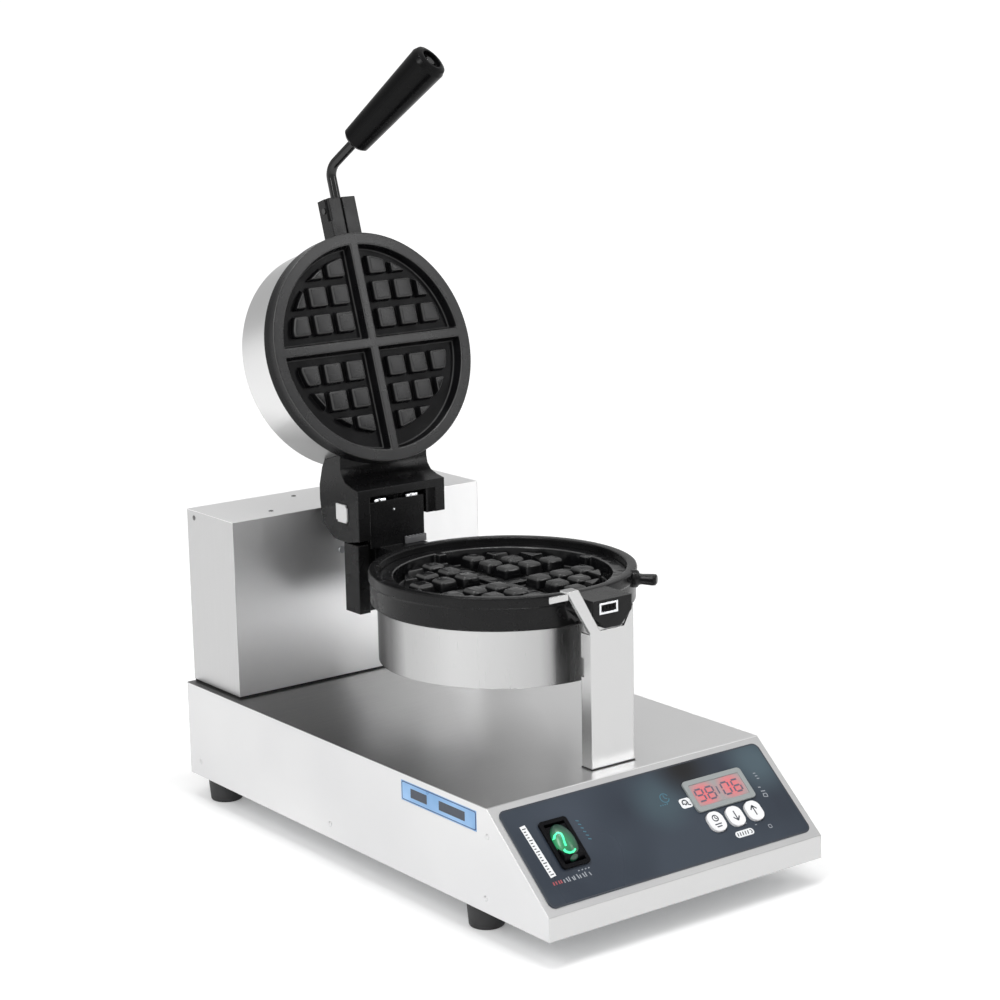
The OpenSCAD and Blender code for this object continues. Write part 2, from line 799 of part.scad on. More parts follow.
// Solid state relay on a finned plate
module relay() {
    color([0.2, 0.2, 0.22])
    translate([base_w * 0.28, pan_y + 20, inside_z]) union() {
        for (i = [-3 : 3]) translate([i * 8 - 1, -35, 0]) cube([2, 70, 12]);
        translate([-28, -35, 12]) cube([56, 70, 4]);
        translate([-22, -29, 16]) cube([44, 58, 23]);
    }
}

// Laminated core with two windings
module transformer() {
    color([0.45, 0.35, 0.2])
    translate([-base_w * 0.24, pan_y + 10, inside_z]) union() {
        difference() {
            translate([-25, -20, 0]) cube([50, 40, 42]);
            for (s = [-1, 1]) translate([s * 12 - 4, -21, 8]) cube([8, 42, 26]);
        }
        translate([-8, -28, 9]) cube([16, 56, 24]);
    }
}

module terminal_block() {
    color([0.9, 0.9, 0.86])
    translate([-base_w * 0.12, rear_y - 70, inside_z]) difference() {
        translate([-30, -11, 0]) cube([60, 22, 18]);
        for (i = [-2 : 2]) translate([i * 11.5, 0, 8]) {
            cylinder(r = 3, h = 11);
            translate([-3.5, -12, 2]) cube([7, 24, 5]);
        }
    }
}

gland_r = 8;
cord_r = 4.5;

// Nylon gland: hexagon and dome outside, threaded stub and locknut inside
module cord_gland() {
    color([0.06, 0.06, 0.06])
    translate([gland_x, rear_y, gland_z]) {
        difference() {
            union() {
                rod_y(gland_r, -10, 0.01);
                rotate([-90, 0, 0]) cylinder(r = 12.5, h = 6, $fn = 6);
                rod_y(11, 6, gland_out - 6);
                rotate([-90, 0, 0]) translate([0, 0, gland_out - 6])
                    rotate_extrude() polygon([[0, 0], [11, 0], [10.4, 2.5], [8.5, 4.8], [6.4, 6], [0, 6]]);
            }
            rod_y(cord_r, -10 - eps, gland_out + eps);
        }
        difference() {
            rotate([90, 0, 0]) translate([0, 0, sheet_t]) cylinder(r = 12.5, h = 5, $fn = 6);
            rod_y(gland_r, -20, 0);
        }
    }
}

// ---- Turning head: hinge bracket ----

// Casting that joins the shaft, the pin and the lower rim
module hinge_bracket() {
    color([0.09, 0.09, 0.09])
    translate([0, hinge_y, 0]) difference() {
        union() {
            block([leaf_left, leaf_front, arm_top], [leaf_right, leaf_rear, hinge_z + leaf_up]);
            block([housing_left, housing_front, housing_z], [housing_right, housing_rear, housing_top]);
            block([-arm_half, pan_y - hinge_y + lip_r, rim_z + 1], [arm_half, housing_front + eps, arm_top]);
        }
        translate([0, pan_y - hinge_y, rim_z - eps]) cylinder(r = rim_r, h = rim_h + 2 * eps);
        translate([0, 0, hinge_z]) rod_x(pin_r, leaf_left - eps, leaf_right + eps);
        translate([0, 0, axis_z]) rod_y(shaft_r, shaft_front - hinge_y, housing_rear + eps);
        for (z = bracket_screw_z)
            translate([bracket_screw_x, 0, z]) rod_y(m3[0], leaf_front - eps, housing_front + 7);
    }
}
bracket_screw_x = -22.5;
bracket_screw_z = [hinge_z - 45, hinge_z - 60];

// Square duct for the heater's wires, beside the bracket
module wire_duct() {
    x1 = housing_left - duct_gap;
    color([0.1, 0.1, 0.1])
    translate([0, hinge_y, 0]) difference() {
        block([duct_left, duct_front, housing_z], [x1, housing_rear, housing_top]);
        block([duct_left + duct_wall, duct_front + duct_wall, housing_z + duct_wall],
            [x1 + eps, housing_rear - duct_wall, housing_top - duct_wall]);
    }
}

module hinge_pin() {
    color([0.75, 0.76, 0.78])
    translate([0, hinge_y, hinge_z]) rod_x(pin_r, pin_left, pin_right);
}

// Detent rollers on the leaf, the grey stop pad and the bracket's screws
module bracket_trim() {
    color([0.75, 0.76, 0.78])
    translate([0, hinge_y, 0]) {
        for (x = [-24, 6])
            translate([x, leaf_front + 4, hinge_z + leaf_up]) difference() {
                rod_x(2.6, 0, 11);
                block([-eps, -5, -5], [12, 5, 0]);
            }
        block([3, leaf_front - 3, arm_top], [leaf_right, leaf_front, hinge_z - 13]);
        for (z = bracket_screw_z)
            translate([bracket_screw_x, housing_front, z]) rotate([90, 0, 0]) screw(m3, 6);
    }
}

// ---- Turning head: lower pan ----

// Rim with a proud top band, a ledge for the plate and the front journal block
module lower_rim() {
    lip_band = 8;
    color([0.09, 0.09, 0.09])
    difference() {
        translate([0, pan_y, 0]) union() {
            rotate_extrude() polygon([
                [ledge_r, rim_z], [rim_r - 1.2, rim_z], [rim_r - 0.5, rim_z + 0.7],
                [rim_r - 0.5, rim_top - lip_band], [rim_r, rim_top - lip_band + 0.5],
                [rim_r, rim_top - 1], [rim_r - 1, rim_top], [lip_r + 1.5, rim_top],
                [lip_r, rim_top - 1.5], [lip_r, lower_plate_z], [ledge_r, lower_plate_z]
            ]);
            difference() {
                translate([0, -rim_r + 4, axis_z]) intersection() {
                    rod_y(journal_r, block_front - pan_y + rim_r - 4, 0);
                    rotate([90, 22.5, 0])
                        cylinder(r = (journal_r - 0.6) / cos(22.5), h = 60, $fn = 8);
                }
                translate([0, 0, rim_z]) cylinder(r = rim_r - 4, h = 60);
                translate([0, -rim_r - 30, rim_top - 0.5 + 20]) cube([60, 80, 40], center = true);
            }
        }
        translate([insert_x, block_front - eps, insert_z])
            rotate([-90, 0, 0]) linear_extrude(3 + eps) square([insert_w, insert_h], center = true);
    }
}
insert_x = -4.5;
insert_z = axis_z - 2.5;
insert_w = 17;
insert_h = 8.5;
peg_turn = -52;
peg_z = rim_top - 6;
peg_r = 4.4;
peg_l = 17;

module journal_insert() {
    color([0.85, 0.86, 0.87])
    translate([insert_x, block_front, insert_z]) rotate([-90, 0, 0]) difference() {
        translate([0, 0, -0.8]) linear_extrude(3.8) square([insert_w, insert_h], center = true);
        translate([0, 0, -0.8 - eps]) linear_extrude(2.4 + eps)
            square([insert_w - 4, insert_h - 4], center = true);
    }
}

// Peg on a boss at the front right of the rim
module rim_peg() {
    color([0.1, 0.1, 0.1])
    translate([0, pan_y, peg_z]) rotate(peg_turn) rotate([0, 90, 0]) translate([0, 0, rim_r]) union() {
        translate([0, 0, eps]) cylinder(r = peg_r + 2, h = 3);
        rotate_extrude() polygon([[0, 1], [peg_r - 0.6, 1], [peg_r, peg_l - 2], [peg_r - 1.6, peg_l], [0, peg_l]]);
    }
}

// Rows of tapered bars; two crossed sets leave the pegs where they meet
module peg_rows() {
    for (s = [-1, 1], i = [0 : 2])
        translate([0, s * (peg_first + i * peg_pitch), 0])
            across(-peg_field_r, peg_field_r)
                polygon([[-peg_base / 2, -0.5], [peg_base / 2, -0.5], [peg_top / 2, peg_h], [-peg_top / 2, peg_h]]);
}

// Cast plate of radius r, from z = 0 to plate_t, with its waffle face up
module waffle_plate(r) {
    floor_z = plate_t - pocket_d;
    color([0.1, 0.1, 0.1])
    difference() {
        cylinder(r = r, h = plate_t);
        difference() {
            translate([0, 0, floor_z]) cylinder(r = pocket_r, h = pocket_d + eps);
            for (a = [0, 90])
                rotate(a) block([-pocket_r - eps, -bar_w / 2, 0], [pocket_r + eps, bar_w / 2, plate_t]);
            translate([0, 0, floor_z]) intersection() {
                peg_rows();
                rotate(90) peg_rows();
                translate([0, 0, -eps]) cylinder(r = peg_field_r, h = peg_h + 2 * eps);
            }
        }
        for (a = stud_at) rotate(a) translate([stud_ring_r, 0, -eps]) cylinder(r = m4[0], h = 2 + eps);
    }
}
stud_at = [45, 135, 225, 315];
stud_ring_r = 40;

module lower_plate() {
    translate([0, pan_y, lower_plate_z]) waffle_plate(lip_r - floor_gap);
}

module shell_cup(r, h) {
    color([0.84, 0.85, 0.86])
    difference() {
        cylinder(r = r, h = h);
        translate([0, 0, shell_t]) cylinder(r = r - shell_t, h = h);
        for (a = stud_at) rotate(a) translate([stud_ring_r, 0, -eps]) cylinder(r = m4[0], h = shell_t + 2 * eps);
    }
}

module lower_shell() {
    translate([0, pan_y, lower_shell_z]) shell_cup(lower_shell_r, lower_shell_h);
}

// Ring heater with two upright terminals, lying against the plate's back at z = 0
module heater() {
    color([0.35, 0.33, 0.32])
    translate([0, 0, -heater_r]) union() {
        rotate(105) rotate_extrude(angle = 330) translate([heater_ring_r, 0]) circle(r = heater_r);
        for (a = [105, 75])
            rotate(a) translate([heater_ring_r, 0, -9]) cylinder(r = heater_r, h = 9);
    }
}

module lower_heater() {
    translate([0, pan_y, lower_plate_z]) heater();
}

module insulation(r, depth) {
    color([0.9, 0.88, 0.8])
    difference() {
        cylinder(r = r, h = depth);
        for (a = stud_at) rotate(a) translate([stud_ring_r, 0, -eps]) cylinder(r = m4[0], h = depth + 2 * eps);
        for (a = [75, 105]) rotate(a) translate([heater_ring_r, 0, -eps])
            cylinder(r = heater_r + 2, h = depth + 2 * eps);
    }
}

module lower_insulation() {
    translate([0, pan_y, lower_shell_z + shell_t]) insulation(lower_shell_r - shell_t - floor_gap, insulation_t);
}

// Long screws from the shell's closed end to the plate's back
module pan_screws(length) {
    color([0.75, 0.75, 0.76])
    for (a = stud_at) rotate(a) translate([stud_ring_r, 0, 0]) rotate([180, 0, 0]) screw(m4, length);
}

module lower_screws() {
    translate([0, pan_y, lower_shell_z]) pan_screws(lower_plate_z - lower_shell_z + 2);
}

// ---- Lid ----

// Turns a shape that is built upwards from its closed end round, to hang in the lid
module lid_flip(z) {
    lid_pose() translate([0, pan_y, z]) rotate([180, 0, 0]) children();
}

module upper_plate() { lid_flip(lid_back_z) waffle_plate(plate_r); }
module upper_shell() { lid_flip(lid_back_z + lid_shell_h) shell_cup(lid_shell_r, lid_shell_h); }
module upper_heater() { lid_flip(lid_back_z) heater(); }
module upper_insulation() {
    lid_flip(lid_back_z + lid_shell_h - shell_t) insulation(lid_shell_r - shell_t - floor_gap, insulation_t);
}
module lid_screws() { lid_flip(lid_back_z + lid_shell_h) pan_screws(lid_shell_h + 2); }

// Hollow casting that carries the lid on the pin
module hinge_cover() {
    color([0.09, 0.09, 0.09])
    lid_pose() difference() {
        translate([0, hinge_y, hinge_z]) difference() {
            union() {
                difference() {
                    across(-cheek_x, cheek_x) polygon(cover_edge);
                    across(window_left, window_right) {
                        circle(r = sweep_r);
                        rotate(lid_open)
                            polygon([[-20, -40], [40, -40], [40, 0], [10, 0], [10, 4], [-20, 4]]);
                    }
                    rotate([lid_open, 0, 0]) block([window_right - 1, -20, -40], [cheek_x + eps, 9, 3]);
                }
                rod_x(lug_r, lug_left, window_right);
                rotate([lid_open, 0, 0])
                    block([lug_left, -5, 0], [window_right + eps, 5, sweep_r]);
            }
            rod_x(pin_r + running, pin_left - 0.2, window_right + 5);
            rotate([lid_open, 0, 0])
                block([-shaft_room, sweep_r - 5, -sweep_r / 2],
                    [shaft_room, column_y - hinge_y, axis_z + shaft_r + 1 - hinge_z]);
        }
        translate([0, pan_y, parting_z - eps]) cylinder(r = plate_r, h = plate_t + eps);
        translate([0, pan_y, lid_back_z - eps]) cylinder(r = lid_shell_r, h = lid_shell_h + eps);
    }
}

// Zinc plate on the left cheek
module cover_plate() {
    color([0.85, 0.85, 0.83])
    lid_pose() translate([-cheek_x, hinge_y + plate_u, hinge_z + plate_w]) rotate([lid_open, 0, 0])
        rotate([0, -90, 0]) linear_extrude(1.6) round_rect(15, 16, 1.5);
}
plate_u = -12.8;
plate_w = 12.2;

// Block that holds the rod, cut to the edge of the plate
module handle_block() {
    color([0.09, 0.09, 0.09])
    lid_pose() difference() {
        block([-block_w / 2, pan_y - block_reach, block_z], [block_w / 2, pan_y - plate_r + 10, block_top]);
        translate([0, pan_y, parting_z - eps]) cylinder(r = plate_r, h = plate_t + 20);
        translate([0, 0, rod_z]) rod_y(rod_r, pan_y - block_reach - eps, pan_y - block_reach + rod_socket);
        translate([-block_w / 2 - eps, pan_y - block_reach + rod_socket / 2, rod_z])
            rod_x(m3[0], 0, block_w / 2 - rod_r + eps + 0.5);
        block([-1.2, pan_y - block_reach - eps, block_z - eps], [1.2, pan_y - plate_r - 6, block_z + 2]);
    }
}
rod_socket = 18;
grip_socket = 20;
bend_step = 0.02;

// Moves to the far end of the bend, with Z along the rod's tail
module at_tail() {
    translate([rod_bend_r * (1 - cos(rod_bend_a)), 0, rod_straight + rod_bend_r * sin(rod_bend_a)])
        rotate([0, rod_bend_a, 0]) children();
}

// Puts the handle's own frame, with Z out of the block, on the closed lid
module handle_pose() {
    lid_pose() translate([0, pan_y - block_reach, rod_z])
        rotate([90, 0, 0]) rotate([0, 0, rod_turn - 90]) children();
}

module handle_rod() {
    color([0.7, 0.71, 0.72])
    handle_pose() union() {
        translate([0, 0, -rod_socket]) cylinder(r = rod_r, h = rod_socket + rod_straight);
        translate([rod_bend_r, 0, rod_straight]) rotate([90, 0, 0]) rotate(180 - rod_bend_a)
            rotate_extrude(angle = rod_bend_a) translate([rod_bend_r, 0]) circle(r = rod_r - bend_step);
        at_tail() cylinder(r = rod_r, h = rod_tail + grip_socket);
    }
}

module handle_grip() {
    color([0.07, 0.07, 0.07])
    handle_pose() at_tail() translate([0, 0, rod_tail]) difference() {
        rotate_extrude() polygon([
            [0, 0], [grip_r1 - 2, 0], [grip_r1, 2], [grip_r2, grip_l - 5], [grip_r2 - 1.4, grip_l - 1.4],
            [grip_r2 - 5, grip_l], [0, grip_l]
        ]);
        translate([0, 0, -eps]) cylinder(r = rod_r, h = grip_socket + eps);
        translate([0, 0, grip_l - 4]) cylinder(r = grip_r2 - 6.5, h = 4 + eps);
        translate([0, 0, grip_l - 14]) cylinder(r = m4[0], h = 14);
    }
}

module handle_screws() {
    color([0.75, 0.75, 0.76]) {
        handle_pose() at_tail() translate([0, 0, rod_tail + grip_l - 4]) screw(m4, 9);
        lid_pose() translate([-block_w / 2, pan_y - block_reach + rod_socket / 2, rod_z])
            rotate([0, -90, 0]) screw([m3[0], 2.4, 0.8], block_w / 2 - rod_r - 0.3);
    }
}

base_shell();
base_floor();
floor_screws();
front_left_foot();
front_right_foot();
rear_left_foot();
rear_right_foot();
foot_screws();
column_shell();
column_back();
column_seal();
column_screws();
column_bolts();
front_rest();
rest_screws();
control_panel();
display_bezel();
display_window();
set_button();
down_button();
up_button();
switch_bezel();
switch_rocker();
side_label();
control_board();
board_spacers();
relay();
transformer();
terminal_block();
cord_gland();
front_bearing();
front_bush();
rear_bearing();
rear_bush();
bearing_screws();
rotary_shaft();
stop_collar();
hinge_bracket();
wire_duct();
hinge_pin();
bracket_trim();
lower_rim();
lower_plate();
lower_shell();
lower_heater();
lower_insulation();
lower_screws();
rim_peg();
journal_insert();
upper_plate();
upper_shell();
upper_heater();
upper_insulation();
lid_screws();
hinge_cover();
cover_plate();
handle_block();
handle_rod();
handle_grip();
handle_screws();
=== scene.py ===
import math

import bmesh
import bpy
from mathutils import Matrix, Vector


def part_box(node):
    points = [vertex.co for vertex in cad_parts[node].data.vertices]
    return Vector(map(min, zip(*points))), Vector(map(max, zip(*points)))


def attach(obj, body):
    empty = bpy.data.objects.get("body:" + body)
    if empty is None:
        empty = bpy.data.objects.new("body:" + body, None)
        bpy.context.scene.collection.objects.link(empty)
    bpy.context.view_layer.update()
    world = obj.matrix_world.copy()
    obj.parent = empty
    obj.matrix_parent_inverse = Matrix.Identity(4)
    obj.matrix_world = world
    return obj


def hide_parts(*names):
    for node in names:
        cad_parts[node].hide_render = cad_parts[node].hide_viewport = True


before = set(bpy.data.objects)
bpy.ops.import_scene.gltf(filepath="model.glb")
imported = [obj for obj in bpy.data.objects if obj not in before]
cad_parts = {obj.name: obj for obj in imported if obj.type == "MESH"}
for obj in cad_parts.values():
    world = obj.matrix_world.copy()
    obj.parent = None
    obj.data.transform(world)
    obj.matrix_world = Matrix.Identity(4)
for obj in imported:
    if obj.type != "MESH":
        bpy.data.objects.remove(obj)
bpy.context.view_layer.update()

# ---- Camera, counter and studio light ----
# A long lens looks down on the left front corner of the waffle maker.
# The counter is plain and pale, with broad soft lights and a bright room round it; it also glows with painted
# light, more the further it lies from the waffle maker.
scene = bpy.context.scene
CAMERA_PLACE, FOCAL_LENGTH, FILM_WIDTH = (-1.06806, -1.45718, 0.65243), 88.607, 36.0
lens_turn, lens_drop, lens_roll = math.radians(-36.8749), math.radians(12.1545), math.radians(-1.1361)
back = Vector((math.sin(lens_turn) * math.cos(lens_drop),
               -math.cos(lens_turn) * math.cos(lens_drop), math.sin(lens_drop)))
level = Vector((0, 0, 1)).cross(back).normalized()
upright = back.cross(level)
across = level * math.cos(lens_roll) + upright * math.sin(lens_roll)
upward = upright * math.cos(lens_roll) - level * math.sin(lens_roll)
camera = bpy.data.objects.new("camera", bpy.data.cameras.new("camera"))
scene.collection.objects.link(camera)
camera.data.sensor_width = FILM_WIDTH
camera.data.lens = FOCAL_LENGTH
camera.data.clip_start, camera.data.clip_end = 0.05, 400.0
camera.matrix_world = Matrix.Translation(CAMERA_PLACE) @ Matrix((across, upward, back)).transposed().to_4x4()
scene.camera = camera
scene.view_settings.view_transform = "Standard"
scene.view_settings.look = "None"


class Signal:
    """A value or colour on its way to a finish; an operator on values adds its Math node."""

    def __init__(self, finish, socket):
        self.finish, self.socket = finish, socket

    def joined(self, operation, first, second=None):
        return self.finish.node("Math", {"operation": operation}, {0: first, 1: second})

    def __add__(self, other):
        return self.joined("ADD", self, other)

    def __radd__(self, other):
        return self.joined("ADD", other, self)

    def __sub__(self, other):
        return self.joined("SUBTRACT", self, other)

    def __rsub__(self, other):
        return self.joined("SUBTRACT", other, self)

    def __mul__(self, other):
        return self.joined("MULTIPLY", self, other)

    def __rmul__(self, other):
        return self.joined("MULTIPLY", other, self)

    def __truediv__(self, other):
        return self.joined("DIVIDE", self, other)

    def __rtruediv__(self, other):
        return self.joined("DIVIDE", other, self)

    def __gt__(self, other):
        return self.joined("GREATER_THAN", self, other)

    def __abs__(self):
        return self.joined("ABSOLUTE", self)


class Finish:
    """One material: constants go on its shader, and what varies is built from nodes."""

    def __init__(self, name, colour, roughness=0.5, metallic=0.0, **constants):
        self.material = bpy.data.materials.new(name)
        self.material.use_nodes = True
        self.tree = self.material.node_tree
        self.shader = self.tree.nodes["Principled BSDF"]
        self.feed("Base Color", colour)
        self.feed("Roughness", roughness)
        self.feed("Metallic", metallic)
        for name, value in constants.items():
            self.feed(name.replace("_", " "), value)

    def feed(self, name, value):
        self.put(self.shader.inputs[name], value)

    def put(self, socket, value):
        """Links a signal, or sets a constant; a colour of three numbers is opaque."""
        if isinstance(value, Signal):
            self.tree.links.new(value.socket, socket)
        elif value is not None:
            socket.default_value = (*value, 1.0) if socket.type == "RGBA" and len(value) == 3 else value

    def node(self, kind, settings=None, sockets=None, out=0):
        made = self.tree.nodes.new("ShaderNode" + kind)
        for name, value in (settings or {}).items():
            if name == "stops":
                while len(made.color_ramp.elements) < len(value):
                    made.color_ramp.elements.new(0.5)
                for stop, (place, colour) in zip(made.color_ramp.elements, value):
                    stop.position, stop.color = place, (*colour, 1.0)
            else:
                setattr(made, name, value)
        for name, value in (sockets or {}).items():
            self.put(made.inputs[name], value)
        return Signal(self, made.outputs[out])

    def spot(self):
        """Where a point of the piece lies, in metres."""
        return self.node("TexCoord", out="Object")

    def along(self, axis):
        """How far the point lies along X, Y or Z."""
        return self.node("SeparateXYZ", {}, {"Vector": self.spot()}, out=axis)

    def toward(self, direction):
        """How far the point lies in any direction."""
        return self.node("VectorMath", {"operation": "DOT_PRODUCT"},
                         {0: self.spot(), 1: tuple(direction)}, out="Value")

    def place(self, stretch=(1, 1, 1)):
        return self.node("Mapping", {}, {"Vector": self.spot(), "Scale": stretch})

    def noise(self, scale, stretch=(1, 1, 1), detail=3.0):
        return self.node("TexNoise", {}, {"Vector": self.place(stretch), "Scale": scale, "Detail": detail})

    def span(self, value, low, high, to_low, to_high):
        return self.node("MapRange", {"clamp": True}, {"Value": value, "From Min": low, "From Max": high,
                                                       "To Min": to_low, "To Max": to_high})

    def blend(self, share, first, second):
        return self.node("Mix", {"data_type": "RGBA"}, {"Factor": share, 6: first, 7: second}, out=2)

    def mottle(self, cloud, first, second):
        """Soft patches of two colours."""
        return self.blend(self.span(cloud, 0.35, 0.65, 0.0, 1.0), first, second)

    def greys(self, share, *stops):
        """Bands of grey across a sheet: painted reflections and painted shade, soft as brushed steel shows
        them.
        """
        return self.node("ValToRGB", {"stops": [(place, (grey, grey, grey)) for place, grey in stops]},
                         {"Fac": share}, out="Color")

    def gloss(self, low, high, grain):
        """Roughness that drifts between two values with a grain."""
        self.feed("Roughness", self.span(grain, 0.3, 0.7, low, high))

    def vary(self, low, high, scale, stretch=(1, 1, 1)):
        self.gloss(low, high, self.noise(scale, stretch))

    def relief(self, height, distance, strength, edge):
        """A fine relief over softly rounded edges."""
        rounded = self.node("Bevel", {"samples": 4}, {"Radius": edge})
        self.feed("Normal", self.node("Bump", {}, {"Height": height, "Distance": distance,
                                                   "Strength": strength, "Normal": rounded}))

    def soften(self, edge):
        self.feed("Normal", self.node("Bevel", {"samples": 4}, {"Radius": edge}))

    def on(self, *names):
        """Puts the finish on CAD nodes, or on pieces of this script."""
        for name in names:
            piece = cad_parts.get(name) or bpy.data.objects[name]
            piece.data.materials.clear()
            piece.data.materials.append(self.material)


bpy.ops.mesh.primitive_plane_add(size=400.0, location=(0, 0, 0))
counter = bpy.context.object
counter.name = "counter"
worktop = Finish("counter_white", (0.88, 0.88, 0.88), 0.6, Emission_Strength=1.0)
worktop.vary(0.55, 0.65, 6.0)
# Painted light: the counter glows, little near the waffle maker and more far off, so the far counter reads
# white.
away = worktop.node("VectorMath", {"operation": "LENGTH"}, {0: worktop.spot()}, out="Value")
far_off = worktop.span(away, 0.4, 3.0, 0.0, 1.0)
worktop.feed("Emission Color", worktop.blend(far_off, (0.14, 0.14, 0.14), (0.5, 0.5, 0.5)))
worktop.on("counter")

studio = bpy.data.worlds.new("studio")
scene.world = studio
studio.use_nodes = True
sky = studio.node_tree
looking = sky.nodes.new("ShaderNodeTexCoord")
parts_of = sky.nodes.new("ShaderNodeSeparateXYZ")
fade = sky.nodes.new("ShaderNodeValToRGB")
sky.links.new(looking.outputs["Generated"], parts_of.inputs[0])
sky.links.new(parts_of.outputs["Z"], fade.inputs["Fac"])
for rise, glow in ((0.0, 1.0), (0.04, 1.0), (0.16, 0.5), (0.45, 0.52), (0.8, 0.72)):
    stop = fade.color_ramp.elements.new(rise)
    stop.color = (glow, glow, glow, 1.0)
fade.color_ramp.elements.remove(fade.color_ramp.elements[-1])
fade.color_ramp.elements.remove(fade.color_ramp.elements[0])
sky.links.new(fade.outputs[0], sky.nodes["Background"].inputs["Strength"])
sky.nodes["Background"].inputs["Color"].default_value = (1.0, 1.0, 1.0, 1.0)
LIT_POINT = Vector((0, 0, 0.2))
for name, place, size, watts in (
        ("key_light", (-2.0, -0.7, 2.0), (0.5, 1.7), 30.0),
        ("fill_light", (1.5, -1.9, 1.7), (0.25, 1.2), 10.0),
        ("top_light", (-0.15, -0.2, 2.5), (1.3, 0.12), 22.0)):
    light = bpy.data.objects.new(name, bpy.data.lights.new(name, "AREA"))
    light.data.shape, light.data.energy = "RECTANGLE", watts
    light.data.size, light.data.size_y = size
    light.location = place
    light.rotation_euler = (LIT_POINT - Vector(place)).to_track_quat("-Z", "Y").to_euler()
    scene.collection.objects.link(light)
# ---- Base and its feet ----
# A box folded from 1.5 mm stainless sheet, with a sloping control deck and a short front lip.
# It is brushed outside, closed below by a screwed steel floor, and stands on four rubber feet.
MM = 0.001  # sizes and places are in millimetres from here on


def select_none():
    for other in list(bpy.context.selected_objects):
        other.select_set(False)


def take(piece):
    select_none()
    piece.select_set(True)
    bpy.context.view_layer.objects.active = piece
    return piece


def edit(piece):
    """Opens a piece in edit mode, with all of it selected, and hands out its mesh."""
    take(piece)
    bpy.ops.object.mode_set(mode="EDIT")
    bpy.ops.mesh.select_all(action="SELECT")
    return bmesh.from_edit_mesh(piece.data)


def leave_edit():
    bpy.ops.object.mode_set(mode="OBJECT")


def move(x, y, z):
    """A move given in millimetres."""
    return Matrix.Translation((x * MM, y * MM, z * MM))


def rotate(axis, degrees):
    return Matrix.Rotation(math.radians(degrees), 4, axis)


def add(kind, name, **sizes):
    """A primitive at its size and place, with its place in its mesh."""
    select_none()
    getattr(bpy.ops.mesh, f"primitive_{kind}_add")(**sizes)
    piece = bpy.context.object
    piece.name = piece.data.name = name
    bpy.ops.object.transform_apply(location=True, rotation=True, scale=True)
    return piece


def box(name, low, high):
    """A box between two corners given in millimetres."""
    piece = add("cube", name, size=1.0)
    size, middle = [(b - a) * MM for a, b in zip(low, high)], [(a + b) / 2 for a, b in zip(low, high)]
    piece.data.transform(move(*middle) @ Matrix.Diagonal((*size, 1)))
    return piece


def drum(name, radius, depth, place, steps):
    """An upright cylinder given in millimetres, with its middle at its place."""
    return add("cylinder", name, radius=radius * MM, depth=depth * MM, vertices=steps,
               location=[c * MM for c in place])


def node_box(name):
    """The two corners of a CAD node in millimetres."""
    return [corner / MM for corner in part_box(name)]


def modify(piece, kind, **settings):
    take(piece)
    modifier = piece.modifiers.new(kind.lower(), kind)
    for name, value in settings.items():
        setattr(modifier, name, value)
    bpy.ops.object.modifier_apply(modifier=modifier.name)
    return piece


def cut(piece, tool, operation="DIFFERENCE"):
    modify(piece, "BOOLEAN", object=tool, operation=operation, solver="EXACT")
    bpy.data.objects.remove(tool)
    return piece


def ease(piece, width, segments=2, angle=35, **settings):
    """Rounds the edges that turn by more than the angle."""
    return modify(piece, "BEVEL", width=width * MM, segments=segments, limit_method="ANGLE",
                  angle_limit=math.radians(angle), **settings)


def smooth(piece, angle=40):
    """Smooth shading between soft edges, with flat faces kept flat."""
    take(piece)
    bpy.ops.object.shade_smooth_by_angle(angle=math.radians(angle))
    return modify(piece, "WEIGHTED_NORMAL", keep_sharp=True, weight=80)


def twin(piece, name, matrix=Matrix.Identity(4)):
    """A copy with its own mesh, moved by the matrix."""
    other = piece.copy()
    other.data = piece.data.copy()
    other.name = other.data.name = name
    scene.collection.objects.link(other)
    other.data.transform(matrix)
    return other


def join(first, *others):
    take(first)
    for other in others:
        other.select_set(True)
    bpy.ops.object.join()
    return first


def blank(name):
    """A piece without a mesh, open in edit mode, for an outline to be drawn in it."""
    piece = add("circle", name, vertices=3, radius=MM)
    shape = edit(piece)
    bmesh.ops.delete(shape, geom=list(shape.verts), context="VERTS")
    return piece, shape


def spun(name, outline, place=(0, 0, 0), turn=Matrix.Identity(4), steps=48):
    """A turned piece: an outline of radius and height in millimetres, spun round Z."""
    piece, shape = blank(name)
    points = [shape.verts.new((r * MM, 0, z * MM)) for r, z in outline]
    for a, b in zip(points, points[1:]):
        shape.edges.new((a, b))
    bmesh.update_edit_mesh(piece.data)
    bpy.ops.mesh.select_all(action="SELECT")
    bpy.ops.mesh.spin(steps=steps, angle=2 * math.pi, center=(0, 0, 0), axis=(0, 0, 1))
    bpy.ops.mesh.select_all(action="SELECT")
    bpy.ops.mesh.remove_doubles(threshold=0.01 * MM)
    bpy.ops.mesh.normals_make_consistent(inside=False)
    leave_edit()
    piece.data.transform(move(*place) @ turn)
    return smooth(piece, 35)


def ready(piece, finish, body, *nodes, slot):
    """Gives a finished piece its material and its body, and hides the CAD nodes that it stands for; its slot
    is not used.
    """
    piece.data.materials.clear()
    piece.data.materials.append(finish.material)
    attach(piece, body)
    if nodes:
        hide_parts(*nodes)


def brush(finish, grain, low, high):
    """Brush lines: a gloss that follows the grain, and a relief of a few thousandths of a millimetre."""
    finish.gloss(low, high, grain)
    finish.relief(grain, 0.004 * MM, 0.15, 0.7 * MM)
